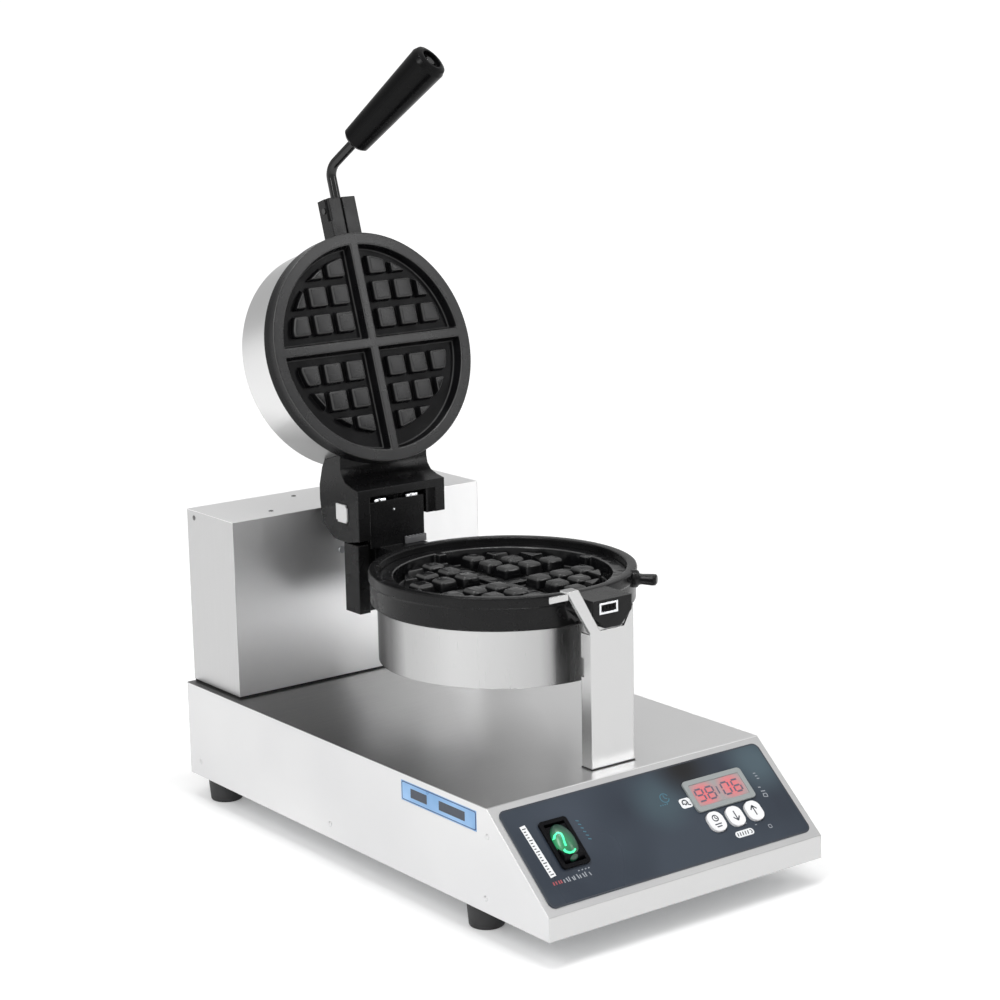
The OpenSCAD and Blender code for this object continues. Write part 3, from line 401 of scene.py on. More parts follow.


# The end walls and the deck are told apart from the long walls by how near a point lies to their faces; the
# end walls get painted shade, and the deck painted reflections and painted shade.
base_low, base_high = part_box("base_shell")
middle_y, half_length = (base_low.y + base_high.y) / 2, (base_high.y - base_low.y) / 2
NEAR_FACE = 0.5 * MM
stainless = Finish("brushed_stainless", (0.62, 0.62, 0.62), 0.3, 1.0)
grain = stainless.noise(140.0, (0.25, 4.0, 5.0))
cloud = stainless.noise(7.0, detail=2.0)
walls = stainless.mottle(cloud, (0.66, 0.66, 0.665), (0.72, 0.72, 0.72))
# Painted shade: the front and rear end walls are painted darker than the long walls.
painted_shade_ends = abs(stainless.along("Y") - middle_y) > half_length - NEAR_FACE
walls = stainless.blend(painted_shade_ends, walls, (0.58, 0.58, 0.58))
# Painted reflection and painted shade on the deck: dark towards the left rear by the column's foot, lighter
# towards the right front.
across_deck = stainless.toward((0.85, -0.5, 0.0)) + (cloud - 0.5) * 0.03
half_deck = 0.11
deck_reflection_and_shade = stainless.greys(stainless.span(across_deck, -half_deck, half_deck, 0.0, 1.0),
                       (0.0, 0.17), (0.25, 0.30), (0.42, 0.42), (0.55, 0.66), (0.72, 0.92), (1.0, 0.97))
on_deck = stainless.along("Z") > base_high.z - NEAR_FACE
stainless.feed("Base Color", stainless.blend(on_deck, walls, deck_reflection_and_shade))
brush(stainless, grain, 0.28, 0.33)
stainless.on("base_shell")
galvanised = Finish("galvanised_sheet", (0.55, 0.56, 0.57), 0.4, 1.0)
spangle = galvanised.node("TexVoronoi", {}, {"Vector": galvanised.place(), "Scale": 180.0}, out="Color")
spangle = galvanised.node("SeparateColor", {}, {"Color": spangle})
galvanised.feed("Roughness", galvanised.span(spangle, 0.0, 1.0, 0.32, 0.5))
galvanised.soften(0.0004)
galvanised.on("base_floor")
zinc = Finish("zinc_plate", (0.62, 0.63, 0.65), 0.32, 1.0)
zinc.vary(0.22, 0.4, 160.0)
zinc.soften(0.0003)
zinc.on("floor_screws", "foot_screws")

rubber = Finish("black_rubber", (0.02, 0.02, 0.021), 0.62)
rubber.vary(0.52, 0.7, 90.0)
rubber.relief(rubber.noise(600.0), 0.0001, 0.35, 0.0008)
FOOT_HEIGHT, SCREW_SEAT = 20.0, 6.0
foot = spun("rubber_foot", [
    (5.2, SCREW_SEAT), (5.2, 0.8), (6.0, 0.0), (11.6, 0.0), (12.4, 0.5), (12.8, 1.4), (14.1, 16.6),
    (14.3, 18.2), (14.2, FOOT_HEIGHT), (2.2, FOOT_HEIGHT), (2.2, SCREW_SEAT), (5.2, SCREW_SEAT)])
for side, x in (("left", -107.0), ("right", 107.0)):
    for end, y in (("front", -151.0), ("rear", 201.0)):
        ready(twin(foot, f"{end}_{side}_rubber_foot", move(x, y, 0.0)), rubber, "base", f"{end}_{side}_foot",
              slot="rubber")
bpy.data.objects.remove(foot)

# Turns that lay a piece made along Z down towards one side.
LEFTWARD, RIGHTWARD = rotate("Y", -90), rotate("Y", 90)
FRONTWARD, REARWARD = rotate("X", 90), rotate("X", -90)
rivet = spun("rivet", [(0, 0.75), (1.1, 0.65), (1.9, 0.3), (2.1, 0.0), (1.2, -0.6), (0, -0.6)], steps=20)
for name, side_x, turn, places in (
        ("side_rivet", base_low.x / MM, LEFTWARD,
         ((209.5, 32.0), (-174.5, 30.4), (-178.0, 75.9), (19.5, 31.2))),
        ("right_side_rivet", base_high.x / MM, RIGHTWARD,
         ((209.5, 32.0), (-173.5, 32.0), (20.5, 32.0)))):
    for number, (y, z) in enumerate(places, 1):
        ready(twin(rivet, f"{name}_{number}", move(side_x, y, z) @ turn), stainless, "base", slot="stainless")

# ---- Column ----
# A tall folded box of the same sheet, bolted to the deck on a thin black seal.
# It hides the bearings, and its vented rear cover is screwed on.
column_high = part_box("column_shell")[1]
column_steel = Finish("brushed_column_steel", (0.6, 0.6, 0.6), 0.34, 1.0)
grain = column_steel.noise(150.0, (5.0, 5.0, 0.25))
cloud = column_steel.noise(6.0, detail=2.0)
walls = column_steel.mottle(cloud, (0.82, 0.82, 0.825), (0.88, 0.88, 0.88))
# Painted light: the side walls and the rear are painted darker than the front (painted shade), and the top
# lighter (painted highlight).
painted_shade_sides = abs(column_steel.along("X")) > column_high.x - NEAR_FACE
walls = column_steel.blend(painted_shade_sides, walls, (0.56, 0.56, 0.56))
painted_shade_rear = column_steel.along("Y") > column_high.y - NEAR_FACE
walls = column_steel.blend(painted_shade_rear, walls, (0.60, 0.60, 0.60))
painted_light_top = column_steel.along("Z") > column_high.z - NEAR_FACE
column_steel.feed("Base Color", column_steel.blend(painted_light_top, walls, (0.98, 0.98, 0.98)))
brush(column_steel, grain, 0.38, 0.44)
column_steel.on("column_shell", "column_back")
rubber.on("column_seal")
zinc.on("column_screws", "column_bolts")
column_side, column_top = column_high.x / MM, column_high.z / MM
for number, (x, y, z, turn) in enumerate((
        (-column_side, 214.4, 232.0, LEFTWARD), (-72.8, 171.4, column_top, Matrix.Identity(4)),
        (-28.7, 207.6, column_top, Matrix.Identity(4)), (column_side, 214.4, 232.0, RIGHTWARD),
        (72.8, 207.6, column_top, Matrix.Identity(4))), 1):
    ready(twin(rivet, f"column_rivet_{number}", move(x, y, z) @ turn), stainless, "base", slot="stainless")
bpy.data.objects.remove(rivet)

# ---- Bearings, shaft and front rest ----
# A hollow steel shaft turns in two bronze bushes held by cast bearings behind the column's face.
# At the front a folded post catches the round journal of the lower pan, and its one arm leans over the rim.
cast_iron = Finish("cast_bearing_iron", (0.05, 0.05, 0.052), 0.5, 0.6)
cast_iron.vary(0.42, 0.6, 400.0)
cast_iron.relief(cast_iron.noise(500.0), 0.0002, 0.4, 0.0006)
cast_iron.on("front_bearing", "rear_bearing")
bronze = Finish("sintered_bronze", (0.55, 0.36, 0.17), 0.35, 1.0)
bronze.vary(0.28, 0.45, 500.0)
bronze.soften(0.0003)
bronze.on("front_bush", "rear_bush")
shaft_steel = Finish("ground_shaft_steel", (0.5, 0.5, 0.51), 0.22, 1.0)
shaft_steel.vary(0.16, 0.28, 200.0, (1, 30, 1))
shaft_steel.soften(0.0004)
shaft_steel.on("rotary_shaft", "stop_collar")
zinc.on("bearing_screws", "rest_screws")
polished_sheet = Finish("polished_rest_steel", (0.55, 0.55, 0.55), 0.24, 1.0)
brush(polished_sheet, polished_sheet.noise(150.0, (5.0, 5.0, 0.3)), 0.22, 0.26)
polished_sheet.on("front_rest")
low, high = node_box("front_rest")
# A thin black rubber strip under the rest's foot, put there as a painted shadow line.
shadow_gasket_thick = 1.0
shadow_gasket = box("rest_shadow_gasket", (-20.0, low.y - 0.7, low.z), (20.0, high.y + 0.6, low.z + shadow_gasket_thick))
ready(smooth(ease(shadow_gasket, 0.3)), rubber, "base", slot="rubber")

# ---- Control panel ----
# A satin polyester overlay on a thin plate, bonded on the slope, with a printed edge, blue-grey patches of
# painted reflection and a dark patch of painted shade.
# Small signs are printed on it: ticks, a bell, arrows and marks that need no words.
DECK_EDGE_Y, SLOPE_ANGLE = -177.0, 40.952
SLOPE = move(0, DECK_EDGE_Y, base_high.z / MM) @ rotate("X", SLOPE_ANGLE)


def near(finish, x, s, inner, outer):
    """One close to a place on the slope, and fading to nothing with distance, in millimetres."""
    middle = SLOPE @ Vector((x * MM, -s * MM, 0))
    away = finish.node("VectorMath", {"operation": "DISTANCE"},
                       {0: finish.spot(), 1: tuple(middle)}, out="Value")
    return finish.node("MapRange", {"interpolation_type": "SMOOTHSTEP"}, {
        "Value": away, "From Min": inner * MM, "From Max": outer * MM, "To Min": 1.0, "To Max": 0.0})


overlay = Finish("panel_overlay", (0.04, 0.05, 0.07), 0.3, Specular_IOR_Level=0.35)
ground = overlay.mottle(overlay.noise(14.0, detail=2.0), (0.022, 0.030, 0.044), (0.034, 0.045, 0.062))
# Painted light on the overlay: three lighter blue-grey patches are painted reflections, and a near-black
# patch by its top edge is painted shade.
for x, s, inner, outer, share, tint in (
        (108.0, 20.0, 4.0, 34.0, 1.0, (0.060, 0.090, 0.110)),
        (10.0, 30.0, 4.0, 32.0, 0.8, (0.052, 0.082, 0.100)),
        (-70.0, 22.0, 4.0, 40.0, 0.6, (0.046, 0.058, 0.078)),
        (44.0, 10.0, 2.0, 34.0, 1.0, (0.006, 0.006, 0.007))):
    ground = overlay.blend(near(overlay, x, s, inner, outer) * share, ground, tint)
overlay.feed("Base Color", ground)
overlay.feed("Roughness", overlay.span(overlay.noise(8.0, detail=1.0), 0.0, 1.0, 0.26, 0.30))
overlay.soften(0.0004)
overlay.on("control_panel")


def flat(name, outlines, height, thick=0.12, sheet=SLOPE):
    """Thin artwork on a sheet: closed outlines in millimetres across and down it, at a height above it."""
    piece, shape = blank(name)
    for outline in outlines:
        corners = [shape.verts.new((x * MM, -s * MM, (height - thick) * MM)) for x, s in outline]
        face = shape.faces.new(corners)
        face.normal_update()
        if face.normal.z > 0:
            face.normal_flip()
    bmesh.update_edit_mesh(piece.data)
    bpy.ops.mesh.select_all(action="SELECT")
    bpy.ops.mesh.extrude_region_move(TRANSFORM_OT_translate={"value": (0, 0, thick * MM)})
    bpy.ops.mesh.select_all(action="SELECT")
    bpy.ops.mesh.normals_make_consistent(inside=False)
    leave_edit()
    piece.data.transform(sheet)
    return piece


def bar(x0, s0, x1, s1, width):
    """The outline of one printed stroke."""
    run = Vector((x1 - x0, s1 - s0))
    side = Vector((-run.y, run.x)).normalized() * width / 2
    return [(x0 + side.x, s0 + side.y), (x1 + side.x, s1 + side.y),
            (x1 - side.x, s1 - side.y), (x0 - side.x, s0 - side.y)]


def stroke(points, width):
    """Strokes along a row of points, as separate bars."""
    return [bar(*a, *b, width) for a, b in zip(points, points[1:])]


def arc(x, s, r, start, end, steps=8):
    """Points along part of a circle, between two angles in degrees."""
    angles = [math.radians(start + (end - start) * step / steps) for step in range(steps + 1)]
    return [(x + r * math.cos(angle), s + r * math.sin(angle)) for angle in angles]


def round_corners(x, s, wide, tall, r, steps=6):
    """The outline of a rectangle with round corners, centred on x and s."""
    u, v = wide / 2 - r, tall / 2 - r
    return [point for side_x, side_s, start in ((u, v, 0), (-u, v, 90), (-u, -v, 180), (u, -v, 270))
            for point in arc(x + side_x, s + side_s, r, start, start + 90, steps)]


def ink(name, colour, low=0.38, high=0.5):
    made = Finish(name, colour)
    made.vary(low, high, 700.0)
    return made


def printed(name, outlines, colour, rise=0.0):
    """Ink on the overlay's face, or on a first ink."""
    ready(flat(name, outlines, OVERLAY_FACE + rise), colour, "base", slot="overlay")


ink_white = ink("ink_white", (0.75, 0.76, 0.77), 0.34, 0.48)
ink_dark = ink("ink_dark", (0.03, 0.035, 0.045), 0.34, 0.48)
ink_grey = ink("ink_grey", (0.28, 0.30, 0.33))
ink_cyan = ink("ink_cyan", (0.05, 0.16, 0.22))
ink_red = ink("ink_red", (0.32, 0.06, 0.07))
OVERLAY_FACE, SECOND_INK = 0.84, 0.1

# A leaning white scale with ticks stands left of the switch, and loose marks stand under it.
strip = [(-109.0, 20.8), (-104.2, 20.2), (-102.2, 62.0), (-107.2, 62.8)]
printed("switch_scale_strip", [strip], ink_white, 0.03)
scale_x, scale_top, scale_long, scale_lean = -108.2, 20.8, 41.6, 1.9
first_tick, tick_pitch, long_tick, short_tick = 23.0, 2.35, 3.2, 1.9
ticks = []
for number in range(17):
    s = first_tick + number * tick_pitch
    x = scale_x + (s - scale_top) / scale_long * scale_lean
    ticks.append(bar(x, s, x + (short_tick if number % 4 else long_tick), s - 0.15, 0.75))
printed("switch_scale_ticks", ticks, ink_dark, SECOND_INK)
marks = [bar(x, 66.0 - (x + 105) * 0.02, x, 68.6 - (x + 105) * 0.02, 1.1)
         for x in (-107.5, -105.3, -102.8, -101.0)]
printed("switch_marks_red", marks, ink_red)
mark_places = (-98.5, -96.2, -94.0, -91.4, -89.6, -87.0, -84.6, -82.2, -79.8, -76.6)
marks = [bar(x, 66.2 - (n % 3) * 0.5, x + (n % 2) * 0.8, 68.9, 0.9) for n, x in enumerate(mark_places)]
marks += [bar(x, 63.3, x + 1.2, 63.1, 0.8) for x in (-84.0, -81.0, -78.2, -75.4)]
printed("switch_marks_grey", marks, ink_grey)

# Between switch and display: a column of strokes, a small clock and a white tag with a bell-like sign.
marks = [bar(-64.0 + n * 0.35, 27.0 + n * 3.1, -61.8 + n * 0.35, 27.9 + n * 3.1, 0.7) for n in range(6)]
marks += stroke(arc(15.6, 28.8, 3.6, 20, 340, 14), 0.6)
marks += stroke([(15.6, 26.4), (15.6, 28.9), (17.6, 29.6)], 0.6)
marks += [bar(8.6 + n * 2.0, 33.8, 9.5 + n * 2.0, 33.7, 0.8) for n in range(4)]
printed("timer_marks_cyan", marks, ink_cyan)
printed("heat_tag", [round_corners(30.2, 37.0, 10.2, 8.0, 2.2)], ink_white)
marks = stroke(arc(29.6, 36.8, 2.3, 150, 400, 12), 0.95) + stroke([(31.2, 38.2), (33.6, 39.4)], 0.9)
marks += stroke([(28.2, 37.0), (29.6, 38.6), (30.9, 36.7)], 0.8)
printed("heat_tag_sign", marks, ink_dark, SECOND_INK)

# Under the keys a white tag with ticks, and beside them grey marks; a dark line runs round the whole overlay.
printed("timer_tag", [round_corners(62.8, 71.6, 17.0, 5.2, 2.5)], ink_white)
marks = [bar(56.8 + n * 2.35, 70.2, 56.2 + n * 2.35, 73.0, 0.75) for n in range(5)]
marks += stroke(arc(68.2, 71.6, 1.4, -90, 90, 6), 0.7)
printed("timer_tag_ticks", marks, ink_dark, SECOND_INK)
marks = [bar(100.4, 29.0, 102.6, 29.2, 0.7), bar(100.6, 31.4, 102.9, 31.6, 0.7)]
marks += [bar(100.9, 33.7, 103.2, 33.9, 0.7)]
marks += stroke([(97.4, 40.6), (99.6, 41.0)], 0.8) + stroke([(97.6, 44.2), (101.4, 44.6)], 0.8)
marks += stroke([(97.4, 48.8), (98.2, 46.4), (101.2, 46.8), (100.8, 49.6), (97.4, 48.8)], 0.7)
marks += stroke([(85.8, 70.8), (88.4, 70.9), (88.4, 73.4), (85.8, 73.3), (85.8, 70.8)], 0.55)
marks += [bar(67.8, 64.6, 69.6, 64.8, 0.6), bar(75.2, 67.9, 77.0, 68.0, 0.6)]
printed("side_marks_grey", marks, ink_grey)
line = round_corners(0.0, 45.0, 237.2, 77.4, 4.4, 8)
printed("overlay_edge", stroke(line + line[:1], 0.8), ink_dark, -0.02)

# ---- Display and keys ----
# A moulded grey frame holds a red filter with four seven-segment figures behind it.
# Three oval white keys under it carry a clock, a down arrow and an up arrow.
bezel_grey = ink("display_frame_grey", (0.27, 0.29, 0.29), 0.36)
bezel_grey.relief(bezel_grey.noise(900.0), 0.00003, 0.3, 0.0006)
bezel_grey.on("display_bezel")
display_glow = Finish("display_filter", (0.30, 0.27, 0.27), 0.14, Coat_Weight=0.5, Coat_Roughness=0.06)
lamp = near(display_glow, 49.0, 35.0, 3.0, 15.0) + near(display_glow, 75.0, 34.0, 3.0, 15.0)
display_glow.feed("Base Color", display_glow.blend(lamp, (0.30, 0.28, 0.28), (0.46, 0.12, 0.13)))
display_glow.feed("Emission Color", display_glow.blend(lamp, (0.01, 0.004, 0.004), (0.30, 0.045, 0.055)))
display_glow.feed("Emission Strength", 0.9)
display_glow.on("display_window")

figure_grey = ink("figure_grey", (0.11, 0.10, 0.14), 0.25, 0.4)
SEGMENTS = {"a": ((0, 0), (1, 0)), "b": ((1, 0), (1, 1)), "c": ((1, 1), (1, 2)), "d": ((0, 2), (1, 2)),
            "e": ((0, 1), (0, 2)), "f": ((0, 0), (0, 1)), "g": ((0, 1), (1, 1))}
FIGURES = {"9": "abcdfg", "8": "abcdefg", "0": "abcdef", "6": "acdefg"}
figure_top, figure_wide, figure_half, figure_lean, gap, segment = 30.0, 6.6, 4.9, -0.15, 0.12, 1.35
lit = [bar(61.9, 31.4, 61.5, 37.6, 1.0)]
for figure, left in zip("9806", (41.6, 51.4, 66.2, 76.4)):
    for name in FIGURES[figure]:
        start, end = (Vector(corner) for corner in SEGMENTS[name])
        short = (end - start) * gap
        ends = [(left + figure_wide * u + figure_lean * v, figure_top + figure_half * v)
                for u, v in (start + short, end - short)]
        lit.append(bar(*ends[0], *ends[1], segment))
ready(flat("display_figures", lit, 2.24, 0.1), figure_grey, "base", slot="window")

button_white = Finish("key_white", (0.78, 0.78, 0.79), 0.34)
button_white.vary(0.28, 0.4, 600.0)
button_white.relief(button_white.noise(800.0), 0.00003, 0.25, 0.0006)
button_white.on("set_button", "down_button", "up_button", "board_spacers")
clock = stroke(arc(0, 55.2, 2.4, 0, 360, 14), 0.85) + stroke([(0, 53.6), (0, 55.4), (1.45, 55.9)], 0.75)
clock += [bar(-3.15, 60.2, 2.85, 60.0, 0.9), bar(-2.35, 62.2, 2.25, 62.0, 0.9)]
down_arrow = stroke([(0, 53.6), (0, 61.0)], 1.0) + stroke([(-2.75, 58.4), (0, 61.6), (2.75, 58.4)], 1.0)
up_arrow = stroke([(0, 61.6), (0, 54.2)], 1.0) + stroke([(-2.75, 56.8), (0, 53.6), (2.75, 56.8)], 1.0)
for name, sign in (("set", clock), ("down", down_arrow), ("up", up_arrow)):
    key_low, key_high = node_box(f"{name}_button")
    key_x = (key_low.x + key_high.x) / 2
    sign = flat(f"{name}_key_sign", [[(key_x + x, s) for x, s in outline] for outline in sign], 2.68, 0.1)
    ready(sign, ink_dark, f"{name}_key", slot="button_white")

# ---- Switch ----
# A black rocker switch snapped into the panel, with a lit green rocker.
# The lens shows a bright curved filament against the darker green.
switch_black = Finish("switch_black", (0.004, 0.004, 0.005), 0.3, Specular_IOR_Level=0.08)
switch_black.vary(0.24, 0.38, 500.0)
switch_black.relief(switch_black.noise(700.0), 0.00003, 0.25, 0.0008)
switch_black.on("switch_bezel", "relay", "switch_rocker")
LENS_X, LENS_S, LENS_FOOT = -83.2, 41.2, 2.0
LENS_WIDE, LENS_TALL, LENS_RISE, FILAMENT_PROUD = 8.8, 14.7, 6.2, 0.35
lens_green = Finish("rocker_green", (0.01, 0.10, 0.035), 0.35, Coat_Weight=0.5, Coat_Roughness=0.22)
tint = lens_green.blend(near(lens_green, -88.0, 42.5, 3.0, 15.0), (0.006, 0.030, 0.018), (0.012, 0.21, 0.075))
lens_green.feed("Base Color", tint)
lens_green.feed("Emission Color", tint)
lens_green.feed("Emission Strength", 0.55)
lens = add("uv_sphere", "rocker_lens", segments=48, ring_count=24, radius=MM)
lens.data.transform(SLOPE @ move(LENS_X, -LENS_S, LENS_FOOT)
                    @ Matrix.Diagonal((LENS_WIDE, LENS_TALL, LENS_RISE, 1)))
ready(smooth(lens, 60), lens_green, "rocker", slot="rocker_green")
filament = Finish("rocker_filament", (0.05, 0.8, 0.35), 0.3, Emission_Strength=1.0)
glow = filament.span(filament.noise(160.0), 0.3, 0.7, 0.0, 1.0)
filament.feed("Emission Color", filament.blend(glow, (0.03, 0.66, 0.20), (0.09, 0.84, 0.34)))
hook = stroke([(-91.2, 37.8), (-89.9, 35.6), (-87.6, 34.6), (-85.9, 36.4), (-86.2, 39.4), (-87.2, 43.6),
               (-87.3, 46.0)], 1.2)
tail = stroke([(-89.2, 47.4), (-88.6, 49.4), (-86.4, 51.2), (-83.4, 51.2), (-81.2, 49.8)], 1.2)
bright = flat("rocker_filament_piece", hook + tail, 0.0, 0.9, Matrix.Identity(4))
for vertex in bright.data.vertices:
    u, v = (vertex.co.x / MM - LENS_X) / LENS_WIDE, (-vertex.co.y / MM - LENS_S) / LENS_TALL
    dome = math.sqrt(max(0.04, 1 - u * u - v * v))
    vertex.co.z += (LENS_FOOT + LENS_RISE * dome + FILAMENT_PROUD) * MM
bright.data.transform(SLOPE)
ready(bright, filament, "rocker", slot="rocker_green")

# ---- Side label ----
# A soft blue foil label low on the left side, with a dark edge and two plain dark fields.
# It is three layers of print on the foil, each a little prouder than the one below.
label_blue = Finish("label_blue", (0.16, 0.33, 0.58), 0.3)
wash = label_blue.noise(26.0, detail=2.0)
label_blue.feed("Base Color", label_blue.mottle(wash, (0.13, 0.29, 0.53), (0.27, 0.46, 0.72)))
label_blue.gloss(0.24, 0.36, wash)
label_blue.on("side_label")
label_edge = Finish("label_edge_blue", (0.012, 0.035, 0.12), 0.35)
label_edge.vary(0.3, 0.42, 300.0)
label_grey = Finish("label_field_grey", (0.035, 0.045, 0.065), 0.4)
label_grey.vary(0.34, 0.46, 300.0)
label_low, label_high = node_box("side_label")
wide, tall = label_high.y - label_low.y, label_high.z - label_low.z
# Across the label is -Y, up it is Z, and its face looks along -X.
UPRIGHT = Matrix(((0, 0, -1, 0), (-1, 0, 0, 0), (0, 1, 0, 0), (0, 0, 0, 1)))


def on_label(name, outlines, proud, thick, finish):
    middle = (label_low + label_high) / 2
    face = move(label_low.x - proud, middle.y, middle.z) @ UPRIGHT
    ready(flat(name, outlines, 0.0, thick, face), finish, "base", slot="label_blue")


on_label("label_border", [round_corners(0, 0, wide - 1.2, tall - 1.2, 1.6)], 0.04, 0.05, label_edge)
on_label("label_ground", [round_corners(0, 0, wide - 3.0, tall - 2.6, 1.2)], 0.10, 0.08, label_blue)
fields = [round_corners(wide * 0.18, 0, wide * 0.34, tall * 0.46, 0.4),
          round_corners(-wide * 0.26, 0, wide * 0.22, tall * 0.46, 0.4)]
on_label("label_fields", fields, 0.18, 0.1, label_grey)

# ---- Inside the base ----
# The parts under the deck: a green control board on white spacers, a relay, a transformer, a terminal block.
# They are screwed to the floor and reached from below, and the mains cord's gland sits in the rear wall.
board_green = Finish("board_green", (0.02, 0.13, 0.05), 0.35)
copper = board_green.node("TexBrick", {}, {"Vector": board_green.place(), "Scale": 60.0, "Mortar Size": 0.06},
                          out="Fac")
board_green.feed("Base Color", board_green.blend(copper, (0.018, 0.12, 0.045), (0.06, 0.24, 0.10)))
board_green.soften(0.0003)
board_green.on("control_board")
nylon = Finish("nylon_white", (0.74, 0.73, 0.68), 0.42)
nylon.vary(0.36, 0.5, 300.0)
nylon.soften(0.0005)
nylon.on("terminal_block")
iron_core = Finish("transformer_laminations", (0.13, 0.12, 0.11), 0.5, 0.5)
sheets = iron_core.node("TexWave", {"bands_direction": "Z"}, {"Vector": iron_core.place(), "Scale": 300.0},
                        out="Fac")
iron_core.relief(sheets, 0.0001, 0.5, 0.0004)
iron_core.feed("Roughness", iron_core.span(sheets, 0.0, 1.0, 0.42, 0.6))
iron_core.on("transformer")
black_plastic = Finish("black_plastic", (0.015, 0.015, 0.016), 0.4)
black_plastic.vary(0.34, 0.5, 400.0)
black_plastic.relief(black_plastic.noise(700.0), 0.00005, 0.3, 0.0006)
gland_low, gland_high = node_box("cord_gland")
gland_middle = (gland_low + gland_high) / 2
cord_r = 3.6
gland = spun("cord_gland_dressed", [
    (cord_r, -4.0), (7.0, -4.0), (7.0, 0.0), (11.5, 0.0), (12.4, 0.6), (12.4, 4.6), (11.5, 5.2), (9.6, 5.4),
    (9.4, 7.0), (8.6, 7.4), (8.6, 9.2), (9.0, 9.6), (9.0, 11.4), (8.2, 11.8), (8.2, 13.6), (8.6, 14.0),
    (8.6, 15.8), (7.6, 16.4), (7.4, 19.2), (6.6, 20.0), (cord_r, 20.0), (cord_r, -4.0)],
    (gland_middle.x, base_high.y / MM, gland_middle.z), REARWARD, 40)
ready(gland, black_plastic, "base", "cord_gland", slot="rubber")

# ---- Hinge bracket, hinge cover and wire duct ----
# A black casting on the shaft carries the lower pan and holds the hinge pin in a thick leaf behind it.
# The lid's cast cover turns on that pin, and the heater's wires run down a sheet box with a rounded foot.
casting = Finish("black_casting", (0.006, 0.006, 0.0062), 0.25, 0.0, Specular_IOR_Level=0.2)
skin = casting.noise(60.0, detail=4.0)
casting.feed("Base Color", casting.mottle(skin, (0.0045, 0.0045, 0.0048), (0.0065, 0.0065, 0.0068)))
casting.vary(0.24, 0.29, 90.0)
casting.relief(casting.noise(500.0), 0.00004, 0.2, 0.0012)
casting.on("hinge_bracket")
PIN_Y, PIN_Z = 101.0, 232.0
cover = twin(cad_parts["hinge_cover"], "hinge_cover_dressed")
edit(cover)
bpy.ops.mesh.remove_doubles(threshold=0.01 * MM)
bpy.ops.mesh.dissolve_limited(angle_limit=math.radians(1.0))
leave_edit()
# The right lug ends level, a little above the pin's middle.
cut(cover, box("lug_trim", (22.5, 80, 200), (45, 160, PIN_Z + 2.9)))
ready(smooth(cover, 32), casting, "lid", "hinge_cover", slot="black_casting")

low, high = node_box("wire_duct")
duct = box("wire_duct_dressed", low, high)
shape = edit(duct)
for edge in shape.edges:
    edge.select_set(all(v.co.z < (low.z + 1) * MM and v.co.x < (low.x + 1) * MM for v in edge.verts))
bpy.ops.mesh.bevel(offset=2.4 * MM, segments=5)
bpy.ops.mesh.select_all(action="DESELECT")
shape = bmesh.from_edit_mesh(duct.data)
for face in shape.faces:
    face.select_set(face.normal.x > 0.9)
sheet_thick = 1.2
bpy.ops.mesh.inset(thickness=sheet_thick * MM)
hollow = -(high.x - low.x - sheet_thick) * MM
bpy.ops.mesh.extrude_region_move(TRANSFORM_OT_translate={"value": (hollow, 0, 0)})
leave_edit()
ready(smooth(ease(duct, 0.5, 2, 30)), casting, "head", "wire_duct", slot="black_casting")

# ---- Bright fittings of the hinge ----
# Two detent rollers on the leaf's top, a ribbed stop pad, two cross-head screws and the pin's swaged ends.
# They are zinc-plated steel, and the pad is grey moulded plastic.
zinc_bright = Finish("bright_zinc", (0.75, 0.76, 0.78), 0.2, 1.0)
zinc_bright.vary(0.12, 0.28, 220.0)
zinc_bright.soften(0.0003)
roller_x, roller_gap, roller_y, leaf_top = -24.0, 30.0, 100.0, 250.0
roller = spun("roller", [
    (0, 0), (2.7, 0), (3.4, 0.7), (3.4, 4.0), (2.9, 4.3), (2.9, 5.0), (3.4, 5.3), (3.4, 10.3), (2.7, 11.0),
    (0, 11.0)], (roller_x, roller_y, leaf_top), RIGHTWARD, 32)
cut(roller, box("under", (roller_x - 1, roller_y - 5, leaf_top - 5), (roller_x + 12, roller_y + 5, leaf_top)))
clip = box("clip", (roller_x + 3.2, roller_y - 3.6, leaf_top),
           (roller_x + 5.6, roller_y - 1.9, leaf_top + 2.6))
join(roller, ease(clip, 0.3))
second_roller = twin(roller, "second_roller", move(roller_gap, 0, 0))
screw_r, screw_h, screw_gap = 2.9, 1.9, 15.0
screw = spun("bracket_screw", [
    (0, -1.0), (screw_r * 0.5, -1.0), (screw_r * 0.5, 0.0), (screw_r, 0.0), (screw_r, screw_h * 0.45),
    (screw_r * 0.85, screw_h * 0.85), (screw_r * 0.5, screw_h), (0, screw_h)], steps=32)
for slant in (0.3, 0.3 + math.pi / 2):
    slot = box("slot", (-screw_r * 0.55, -screw_r * 0.11, screw_h * 0.45),
               (screw_r * 0.55, screw_r * 0.11, screw_h + 1))
    slot.data.transform(Matrix.Rotation(slant, 4, "Z"))
    cut(screw, slot)
screw.data.transform(move(-22.5, 104.0, 187.0) @ FRONTWARD)
smooth(screw, 35)
second_screw = twin(screw, "second_screw", move(0, 0, -screw_gap))
rivet = spun("leaf_rivet", [(0, -0.5), (1.0, -0.5), (1.0, 0.25), (0.5, 0.5), (0, 0.5)],
             (-6.5, 96.5, 242.0), FRONTWARD, 16)
trim = join(roller, second_roller, screw, second_screw, rivet)
trim.name = trim.data.name = "hinge_fittings"
ready(smooth(trim), zinc_bright, "head", "bracket_trim", slot="zinc")

